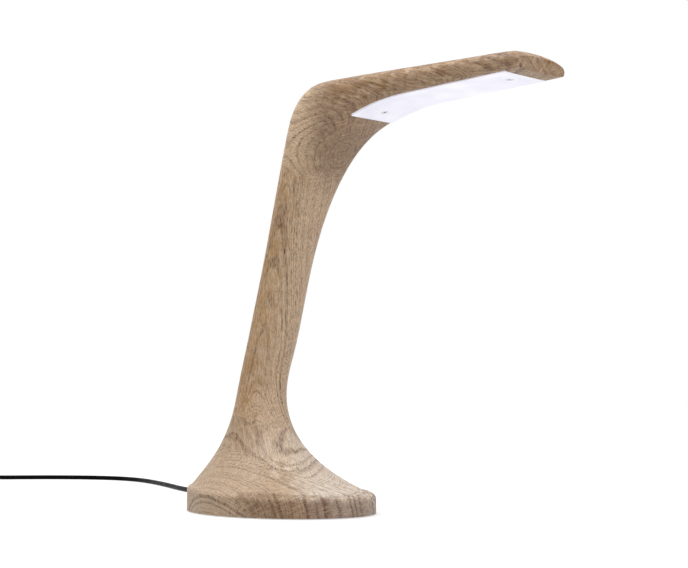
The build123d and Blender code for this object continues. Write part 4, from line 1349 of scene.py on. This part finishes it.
CORD_SHEATH = MouldedFinish(
    "cord_sheath_black",
    srgb(8, 8, 9),
    srgb(24, 24, 26),
    rough=0.4,
    grain=0.0006,
    depth=0.00001,
    rubbed=0.0,
    shine=0.03,
    dust=0.003,
)
SLEEVE_RUBBER = MouldedFinish(
    "sleeve_rubber_black", srgb(20, 20, 21), srgb(48, 48, 49), rough=0.55, grain=0.0005
)
SWITCH_PLASTIC = MouldedFinish(
    "switch_plastic_black", srgb(18, 18, 20), srgb(54, 54, 57), rough=0.40
)
ROCKER_PLASTIC = MouldedFinish(
    "rocker_plastic_black",
    srgb(26, 26, 28),
    srgb(66, 66, 70),
    rough=0.28,
    grain=0.0003,
    depth=0.00001,
)
PLUG_PLASTIC = MouldedFinish("plug_plastic_black", srgb(18, 18, 19), srgb(54, 54, 56), rough=0.44)
CORE_INSULATION = MouldedFinish(
    "core_insulation_grey", srgb(92, 62, 44), srgb(128, 92, 70), rough=0.4
)
RED_INSULATION = MouldedFinish(
    "lead_insulation_red", srgb(158, 24, 22), srgb(190, 66, 60), rough=0.38
)
BLACK_INSULATION = MouldedFinish(
    "lead_insulation_black", srgb(18, 18, 18), srgb(50, 50, 50), rough=0.38
)
CLAMP_PLASTIC = MouldedFinish("clamp_nylon", srgb(204, 200, 188), srgb(226, 223, 214), rough=0.4)
WHITE_PLASTIC = MouldedFinish(
    "case_plastic_white", srgb(222, 221, 216), srgb(238, 237, 233), rough=0.42
)
STRIP_WHITE = MouldedFinish(
    "strip_resin_white", srgb(232, 232, 228), srgb(214, 212, 204), rough=0.35
)
BOARD_PARTS = MouldedFinish("component_epoxy", srgb(40, 42, 46), srgb(96, 98, 104), rough=0.36)
STEEL_PLATE = MetalFinish(
    "blackened_steel",
    srgb(44, 44, 46),
    srgb(32, 31, 31),
    srgb(140, 140, 142),
    rough=0.45,
    metallic=0.8,
)
SCREW_STEEL = MetalFinish(
    "zinc_screw_steel", srgb(176, 178, 180), srgb(128, 130, 134), srgb(220, 221, 222), rough=0.34
)
PANEL_SCREW = MetalFinish(
    "panel_screw_steel", srgb(218, 219, 224), srgb(196, 197, 203), srgb(236, 237, 240), rough=0.5
)
ALUMINIUM = MetalFinish(
    "bent_aluminium", srgb(200, 202, 205), srgb(164, 167, 171), srgb(230, 231, 233), rough=0.36
)
BRASS = MetalFinish(
    "terminal_brass", srgb(202, 164, 92), srgb(150, 118, 66), srgb(232, 204, 140), rough=0.3
)
NICKEL_PINS = MetalFinish(
    "nickel_pins", srgb(196, 194, 188), srgb(150, 148, 143), srgb(226, 225, 221), rough=0.22
)
OPAL = OpalFinish("opal_acrylic")
PHOSPHOR = GlowFinish("chip_phosphor")
BOARD = BoardFinish("circuit_board")
FLOOR = FloorFinish("paper_floor")

# Raised bars of grips and ribs: steps along, facets around, and the power that keeps them full.
BAR_STEPS = 14
BAR_FACETS = 10
BAR_FULLNESS = 6


def coat(piece: bpy.types.Object, finish: Finish) -> None:
    """Give a piece one finish all over.

    Args:
        piece: the CAD node or the new piece.
        finish: its finish.
    """
    if not piece.material_slots:
        piece.data.materials.append(None)
    for slot in piece.material_slots:
        slot.material = finish.material()


def put_in_scene(name: str, data: Union[bpy.types.Mesh, bpy.types.Curve]) -> bpy.types.Object:
    """Make an object of a mesh or curve and show it.

    Args:
        name: the object's name.
        data: its mesh or curve.

    Returns:
        The object.
    """
    piece = bpy.data.objects.new(name, data)
    bpy.context.scene.collection.objects.link(piece)
    return piece


def skin(mesh: bmesh.types.BMesh, rows: Sequence[Sequence[bmesh.types.BMVert]]) -> None:
    """Lay faces between neighbouring rows of vertices.

    Args:
        mesh: the mesh that holds them.
        rows: rows of one length. A row that closes on itself ends with its first vertex, and rows
            that close on each other end with the first row.
    """
    for low, high in zip(rows, rows[1:]):
        for start, end in zip(zip(low, high), zip(low[1:], high[1:])):
            mesh.faces.new((start[0], end[0], end[1], start[1]))


def soft_bar(
    mesh: bmesh.types.BMesh, place: Matrix, length: float, width: float, height: float
) -> None:
    """Add a raised bar with an oval section and full, rounded ends, sunk in by half.

    Args:
        mesh: the mesh that it is added to.
        place: its frame, X along the bar and Z out of the surface.
        length: its length in metres.
        width: its width in metres.
        height: how far it stands out, in metres.
    """
    rows = []
    for step in range(BAR_STEPS + 1):
        share = -math.cos(math.pi * step / BAR_STEPS)
        squeeze = max(0.0, 1 - share**BAR_FULLNESS) ** 0.5
        row = []
        for turn in range(BAR_FACETS):
            angle = 2 * math.pi * turn / BAR_FACETS
            spot = Vector((
                share * length / 2,
                math.cos(angle) * width / 2 * squeeze,
                math.sin(angle) * height * squeeze,
            ))
            row.append(mesh.verts.new(place @ spot))
        rows.append([*row, row[0]])
    skin(mesh, rows)


def finish_mesh(mesh: bmesh.types.BMesh, name: str) -> bpy.types.Object:
    """Turn a bmesh into a smooth-shaded piece.

    Args:
        mesh: the mesh, which is freed.
        name: the piece's name.

    Returns:
        The piece.
    """
    bmesh.ops.remove_doubles(mesh, verts=mesh.verts, dist=1e-6)
    bmesh.ops.recalc_face_normals(mesh, faces=mesh.faces)
    data = bpy.data.meshes.new(name)
    mesh.to_mesh(data)
    mesh.free()
    data.polygons.foreach_set("use_smooth", [True] * len(data.polygons))
    return put_in_scene(name, data)


def axes(x: Vector, z: Vector, origin: Vector) -> Matrix:
    """Make a frame.

    Args:
        x: its X direction.
        z: its Z direction.
        origin: its origin.

    Returns:
        The frame as a matrix.
    """
    y = z.cross(x)
    turn = Matrix((x, y, z)).transposed().to_4x4()
    return Matrix.Translation(origin) @ turn


class SubAssembly:
    """Pieces that are built and dressed together."""

    title = "pieces"
    coats: dict[str, Finish] = {}

    def build(self) -> list[bpy.types.Object]:
        """Build the pieces that CAD doesn't hold; most sub-assemblies have none."""
        return []

    def dress(self) -> None:
        """Give each CAD node its finish."""
        for name, finish in self.coats.items():
            coat(frame["nodes"][name], finish)
            log.info("%s: %s in %s", self.title, name, finish.name)


@dataclass
class WoodBody(SubAssembly):
    """Stem, arm and the dowels in their joint."""

    title = "wood body"
    coats = {"stem": OAK, "arm": OAK, "joint_dowels": BEECH}


@dataclass
class LightPanel(SubAssembly):
    """The opal panel and all that lies behind it."""

    title = "light panel"
    coats = {
        "diffuser": OPAL,
        "diffuser_screws": PANEL_SCREW,
        "diffuser_spacers": WHITE_PLASTIC,
        "heat_sink": ALUMINIUM,
        "heat_sink_screws": SCREW_STEEL,
        "led_strips": STRIP_WHITE,
        "led_chips": PHOSPHOR,
        "led_connector": WHITE_PLASTIC,
        "lead_red": RED_INSULATION,
        "lead_black": BLACK_INSULATION,
    }


@dataclass
class FootWorks(SubAssembly):
    """What the foot holds: plate, pad, sleeve, clamp, terminals and driver."""

    title = "foot"
    sleeve_height: float = 12 * MM
    sleeve_start: float = -110 * MM
    sleeve_end: float = -132 * MM
    start_radius: float = 5.0 * MM
    end_radius: float = 3.8 * MM
    ring_count: int = 6
    ring_radius: float = 0.55 * MM
    ring_rise_share: float = 0.8
    first_ring: float = 0.7
    spare_rings: float = 0.6
    ring_steps: int = 40
    ring_facets: int = 10
    coats = {
        "base_plate": STEEL_PLATE,
        "base_screws": SCREW_STEEL,
        "foot_pad": FELT_PAD,
        "cord_sleeve": SLEEVE_RUBBER,
        "cord_inner": CORD_SHEATH,
        "cord_cores": CORE_INSULATION,
        "cord_clamp": CLAMP_PLASTIC,
        "clamp_screws": SCREW_STEEL,
        "terminal_block": CLAMP_PLASTIC,
        "terminal_screws": SCREW_STEEL,
        "driver_tape": FOAM_TAPE,
        "driver_case": WHITE_PLASTIC,
        "driver_lid": WHITE_PLASTIC,
        "driver_board": BOARD,
        "driver_parts": BOARD_PARTS,
        "driver_leads": CORE_INSULATION,
    }

    def build(self) -> list[bpy.types.Object]:
        """Build the soft rings that stiffen the sleeve's tail.

        Returns:
            The rings as one piece.
        """
        mesh = bmesh.new()
        for ring in range(self.ring_count):
            share = (ring + self.first_ring) / (self.ring_count + self.spare_rings)
            x = self.sleeve_start + (self.sleeve_end - self.sleeve_start) * share
            radius = self.start_radius + (self.end_radius - self.start_radius) * share
            rows = []
            for turn in range(self.ring_steps):
                angle = 2 * math.pi * turn / self.ring_steps
                row = []
                for step in range(self.ring_facets):
                    lean = 2 * math.pi * step / self.ring_facets
                    reach = radius + self.ring_radius * self.ring_rise_share * math.sin(lean)
                    spot = (
                        x + self.ring_radius * math.cos(lean),
                        reach * math.cos(angle),
                        self.sleeve_height + reach * math.sin(angle),
                    )
                    row.append(mesh.verts.new(spot))
                rows.append([*row, row[0]])
            skin(mesh, [*rows, rows[0]])
        rings = finish_mesh(mesh, "sleeve_rings")
        coat(rings, SLEEVE_RUBBER)
        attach(rings, LAMP)
        return [rings]


@dataclass
class InlineSwitch(SubAssembly):
    """The rocker switch on the cord."""

    title = "inline switch"
    centre: Point = (-731.5 * MM, -45 * MM, 13.6 * MM)
    tilt: float = math.radians(9)
    half_length: float = 9.5 * MM
    rise: float = 3.6 * MM
    dish: float = 1.2 * MM
    rib_spots: tuple[float, ...] = (5.0 * MM, 6.4 * MM, 7.8 * MM)
    rib_length: float = 7.5 * MM
    rib_width: float = 0.75 * MM
    rib_height: float = 0.38 * MM
    coats = {
        "switch_base": SWITCH_PLASTIC,
        "switch_cover": SWITCH_PLASTIC,
        "switch_rocker": ROCKER_PLASTIC,
        "switch_contact": BRASS,
        "switch_terminals": BRASS,
        "switch_cores": CORE_INSULATION,
        "switch_cord_ends": CORD_SHEATH,
        "switch_clamps": CLAMP_PLASTIC,
        "switch_clamp_screws": SCREW_STEEL,
        "switch_screws": SCREW_STEEL,
    }

    def build(self) -> list[bpy.types.Object]:
        """Build the finger ribs on both ends of the rocker.

        Returns:
            The ribs as one piece that moves with the rocker.
        """
        mesh = bmesh.new()
        along = Vector((0, -math.cos(self.tilt), math.sin(self.tilt)))
        out = Vector((0, math.sin(self.tilt), math.cos(self.tilt)))
        slope = math.atan(self.dish / self.half_length)
        for side in (-1, 1):
            lift = out * math.cos(slope) - along * side * math.sin(slope)
            for spot in self.rib_spots:
                height = self.rise - self.dish + self.dish * spot / self.half_length
                origin = Vector(self.centre) + along * side * spot + out * height
                place = axes(Vector((1, 0, 0)), lift, origin)
                soft_bar(mesh, place, self.rib_length, self.rib_width, self.rib_height)
        ribs = finish_mesh(mesh, "rocker_ribs")
        coat(ribs, ROCKER_PLASTIC)
        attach(ribs, ROCKER)
        return [ribs]


@dataclass
class Plug(SubAssembly):
    """The flat plug with its finger grips."""

    title = "plug"
    centre_x: float = -651 * MM
    rear: tuple[float, float] = (6.5 * MM, -60 * MM)
    shoulder: tuple[float, float] = (17.5 * MM, -38 * MM)
    middle_z: float = 7 * MM
    grip_shares: tuple[float, ...] = (0.30, 0.43, 0.56, 0.69, 0.82)
    grip_length: float = 8.4 * MM
    grip_width: float = 1.1 * MM
    grip_height: float = 0.5 * MM
    coats = {"plug_body": PLUG_PLASTIC, "plug_pins": NICKEL_PINS}

    def build(self) -> list[bpy.types.Object]:
        """Build the upright grips on the plug's slanting sides.

        Returns:
            The grips as one piece.
        """
        mesh = bmesh.new()
        start, end = Vector(self.rear), Vector(self.shoulder)
        run = (end - start).normalized()
        for side in (-1, 1):
            out = Vector((side * run.y, -run.x, 0))
            for share in self.grip_shares:
                spot = start.lerp(end, share)
                origin = Vector((self.centre_x + side * spot.x, spot.y, self.middle_z))
                place = axes(Vector((0, 0, 1)), out, origin)
                soft_bar(mesh, place, self.grip_length, self.grip_width, self.grip_height)
        grips = finish_mesh(mesh, "plug_grips")
        coat(grips, PLUG_PLASTIC)
        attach(grips, LAMP)
        return [grips]


@dataclass
class CoilTie(SubAssembly):
    """The tape that holds the put-away coil."""

    title = "coil tie"
    centre: tuple[float, float] = (-694.7 * MM, -152 * MM)
    angle: float = math.radians(215)
    inner: float = 29.5 * MM
    outer: float = 39.0 * MM
    top: float = 13.2 * MM
    width: float = 6 * MM
    thickness: float = 0.5 * MM
    lifts_from: float = 0.7
    tip_lift: float = 0.9 * MM
    narrows_from: float = 0.8
    tip_loss: float = 0.55
    steps_along: int = 16
    steps_across: int = 8
    coats = {"coil_tie": TIE_FABRIC}

    def build(self) -> list[bpy.types.Object]:
        """Build the tape's loose end, which lies on its own wrap and lifts a little at its tip.

        Returns:
            The end as one piece.
        """
        mesh = bmesh.new()
        out = Vector((math.cos(self.angle), math.sin(self.angle), 0))
        side = Vector((-out.y, out.x, 0))
        middle = Vector((self.centre[0], self.centre[1], 0))
        along, across = self.steps_along, self.steps_across
        sheets = []
        for level in (0.0, self.thickness):
            rows = []
            for step in range(along + 1):
                share = step / along
                reach = self.outer + (self.inner - self.outer) * share
                lifted = max(0.0, share - self.lifts_from) / (1 - self.lifts_from)
                narrowed = max(0.0, share - self.narrows_from) / (1 - self.narrows_from)
                height = self.top + level + self.tip_lift * lifted**2
                width = self.width * (1 - narrowed**2 * self.tip_loss)
                row = []
                for place in range(across + 1):
                    sway = (place / across - 0.5) * width
                    spot = middle + out * reach + side * sway + Vector((0, 0, height))
                    row.append(mesh.verts.new(spot))
                rows.append(row)
            sheets.append(rows)
            skin(mesh, rows)
        rim = [(0, place) for place in range(across)]
        rim += [(step, across) for step in range(along)]
        rim += [(along, across - place) for place in range(across)]
        rim += [(along - step, 0) for step in range(along + 1)]
        skin(mesh, [[rows[step][place] for step, place in rim] for rows in sheets])
        end = finish_mesh(mesh, "tie_end")
        coat(end, TIE_FABRIC)
        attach(end, LAMP)
        return [end]


@dataclass
class PowerCord:
    """One length of the mains cord, laid along its route."""

    name: str
    route: list[Point]
    replaces: tuple[str, ...]
    far_end: FarEnd
    length: float
    with_pieces: tuple[str, ...]
    lay: Lay = Lay.LOOSE
    diameter: float = 5.8 * MM
    facets: int = 6
    steps: int = 10
    order: int = 3

    def lay_out(self) -> bpy.types.Object:
        """Returns:
            The cord.
        """
        data = bpy.data.curves.new(self.name, "CURVE")
        data.dimensions = "3D"
        data.bevel_depth = self.diameter / 2
        data.bevel_resolution = self.facets
        data.resolution_u = self.steps
        data.use_fill_caps = True
        spline = data.splines.new("NURBS")
        spline.points.add(len(self.route) - 1)
        for point, spot in zip(spline.points, self.route):
            point.co = (*(part * MM for part in spot), 1.0)
        spline.order_u = self.order
        spline.use_endpoint_u = True
        cord = put_in_scene(self.name, data)
        coat(cord, CORD_SHEATH)
        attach(cord, LAMP)
        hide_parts(*self.replaces)
        exit_point = tuple(part * MM for part in self.route[0])
        list(self.with_pieces)
        log.info("cord: %s, %.2f m, far end %s", self.name, self.length, self.far_end.value)
        return cord


@dataclass
class CordSet:
    """The whole mains cord, in millimetres: lamp to switch, and switch to plug with the coil."""

    coil_centre: tuple[float, float] = (-694.7, -152.0)
    outer_turn: float = 36.8
    inner_turn: float = 31.0
    low: float = 3.7
    high: float = 9.5
    steps_per_turn: int = 16
    turns: float = 3.5
    to_switch: tuple[Point, ...] = (
        (-132, 0, 12),
        (-152, 0, 12),
        (-172, 11.5, 8.2),
        (-190, 32, 4.2),
        (-214, 58, 2.95),
        (-248, 84, 2.95),
        (-288, 102, 2.95),
        (-336, 118, 2.95),
        (-388, 140, 2.95),
        (-438, 159, 2.95),
        (-486, 175, 2.95),
        (-530, 184, 2.95),
        (-572, 182, 2.95),
        (-611, 166, 2.95),
        (-646, 139, 2.95),
        (-676, 106, 2.95),
        (-702, 70, 2.95),
        (-721, 36, 4.4),
        (-731.5, 6, 8),
        (-731.5, -14, 8),
    )
    switch_side: tuple[Point, ...] = (
        (-731.5, -76, 8),
        (-731.5, -92, 8),
        (-731.5, -112, 3.7),
        (-731.5, -128, 3.7),
    )
    plug_side: tuple[Point, ...] = (
        (-657.9, -128, 9.5),
        (-657.9, -112, 9.5),
        (-651, -92, 7),
        (-651, -76, 7),
    )
    swap_from: float = 0.06
    swap_share: float = 0.66

    def coil(self) -> list[Point]:
        """Wind the put-away length: outer and inner turn below, then inner and outer turn above.

        The turns change place in the half of the ring that is away from the tie, always a
        diameter apart.

        Returns:
            The coil's points in order.
        """
        swell = 1 / math.cos(math.pi / self.steps_per_turn)
        step_side = self.outer_turn - self.inner_turn
        step_up = self.high - self.low
        points = []
        for index in range(1, int(self.steps_per_turn * self.turns)):
            turned = index / self.steps_per_turn
            half = int(turned * 2)
            share = turned * 2 - half
            angle = math.pi + turned * 2 * math.pi
            if half % 2 == 0:
                sideways, up = ((1, 0), (0, 0), (0, 1), (1, 1))[half // 2]
            else:
                lead = min(1.0, max(0.0, (share - self.swap_from) / self.swap_share))
                lead = math.radians(90 * lead)
                sideways, up = (
                    (math.cos(lead), 0.0),
                    (0.0, math.sin(lead)),
                    (math.sin(lead), 1.0),
                )[half // 2]
            radius = (self.inner_turn + step_side * sideways) * swell
            points.append((
                self.coil_centre[0] + radius * math.cos(angle),
                self.coil_centre[1] + radius * math.sin(angle),
                self.low + step_up * up,
            ))
        return points

    def lay_out(self) -> list[bpy.types.Object]:
        """Lay both lengths.

        Returns:
            The two cords.
        """
        first = PowerCord(
            name="cord_lamp_to_switch",
            route=list(self.to_switch),
            replaces=("cord_to_switch",),
            far_end=FarEnd.FITTING,
            length=0.75,
            with_pieces=("switch_base", "switch_cover", "switch_rocker", "rocker_ribs"),
        )
        second = PowerCord(
            name="cord_switch_to_plug",
            route=[*self.switch_side, *self.coil(), *self.plug_side],
            replaces=("cord_to_plug", "cord_coil", "cord_tail"),
            far_end=FarEnd.PLUG,
            length=0.88,
            with_pieces=("plug_body", "plug_pins", "plug_grips", "coil_tie", "tie_end"),
            lay=Lay.COILED,
        )
        return [first.lay_out(), second.lay_out()]


@dataclass
class Studio:
    """White floor, soft light and the camera at the photograph's viewing angle.

    Places are in metres, the camera's angles in degrees and the lights' powers in watts.
    """

    camera_place: Point = (1.11076, -0.93204, 0.116)
    azimuth: float = 50.0
    pitch: float = 4.60
    yaw: float = 2.57
    focal_pixels: float = 1409.4
    frame_width: int = 688
    sensor: float = 36.0
    clip_start: float = 0.01
    clip_end: float = 100.0
    floor_size: float = 14.0
    floor_cells: int = 24
    aim: Point = (0.0, 0.0, 0.2)
    ambient: float = 0.40
    key_place: Point = (-0.35, -0.45, 2.5)
    key_size: float = 1.8
    key_power: float = 43.0
    fill_place: Point = (1.3, -0.2, 1.1)
    fill_size: float = 1.4
    fill_power: float = 6.5

    def floor(self) -> bpy.types.Object:
        """Lay a finely divided floor.

        Returns:
            The floor.
        """
        mesh = bmesh.new()
        cells, half = self.floor_cells, self.floor_size / 2
        bmesh.ops.create_grid(mesh, x_segments=cells, y_segments=cells, size=half)
        floor = finish_mesh(mesh, "studio_floor")
        coat(floor, FLOOR)
        return floor

    def softbox(self, name: str, place: Point, size: float, power: float) -> bpy.types.Object:
        """Hang one soft light that looks at the middle of the lamp.

        Args:
            name: the light's name.
            place: where it hangs, in metres.
            size: the length of its side, in metres.
            power: its power in watts.

        Returns:
            The light.
        """
        data = bpy.data.lights.new(name, "AREA")
        data.shape = "SQUARE"
        data.size = size
        data.energy = power
        light = bpy.data.objects.new(name, data)
        bpy.context.scene.collection.objects.link(light)
        light.location = place
        look = Vector(self.aim) - Vector(place)
        light.rotation_euler = look.to_track_quat("-Z", "Y").to_euler()
        return light

    def world(self) -> bpy.types.World:
        """Make the world white for the camera and soft for the light.

        Returns:
            The world.
        """
        made = bpy.data.worlds.new("studio_air")
        made.use_nodes = True
        made.node_tree.nodes.clear()
        graph = Graph(made.node_tree)
        back = graph.add("ShaderNodeBackground")
        strength = graph.between(graph.seen(), self.ambient, 1.0)
        graph.fill(back, {"Color": (1.0, 1.0, 1.0, 1.0), "Strength": strength})
        leave = graph.add("ShaderNodeOutputWorld")
        graph.feed(leave.inputs["Surface"], back.outputs[0])
        bpy.context.scene.world = made
        return made

    def camera(self) -> bpy.types.Object:
        """Set up the camera.

        Returns:
            The camera.
        """
        turn, nod, aside = (math.radians(value) for value in (self.azimuth, self.pitch, self.yaw))
        ahead = Vector((-math.sin(turn), math.cos(turn), 0))
        right = Vector((math.cos(turn), math.sin(turn), 0))
        level = ahead * math.cos(aside) + right * math.sin(aside)
        look = level * math.cos(nod) + Vector((0, 0, 1)) * math.sin(nod)
        data = bpy.data.cameras.new("photo_camera")
        data.sensor_width = self.sensor
        data.lens = self.focal_pixels / self.frame_width * self.sensor
        data.clip_start = self.clip_start
        data.clip_end = self.clip_end
        camera = bpy.data.objects.new("photo_camera", data)
        bpy.context.scene.collection.objects.link(camera)
        camera.location = self.camera_place
        camera.rotation_euler = look.to_track_quat("-Z", "Y").to_euler()
        bpy.context.scene.camera = camera
        return camera

    def set_up(self) -> None:
        """Build the whole studio."""
        self.floor()
        self.softbox("key_light", self.key_place, self.key_size, self.key_power)
        self.softbox("fill_light", self.fill_place, self.fill_size, self.fill_power)
        self.world()
        self.camera()
        bpy.context.scene.view_settings.view_transform = "Standard"
        log.info("studio: floor, two soft lights, world and camera")


def main() -> None:
    """Build the sub-assemblies in order and report each piece."""
    logging.basicConfig(level=logging.INFO, format="%(name)s %(message)s")
    Studio().set_up()
    for group in (WoodBody(), LightPanel(), FootWorks(), InlineSwitch(), Plug(), CoilTie()):
        group.dress()
        for piece in group.build():
            log.info("%s: new piece %s", group.title, piece.name)
    CordSet().lay_out()


if __name__ == "__main__":
    main()
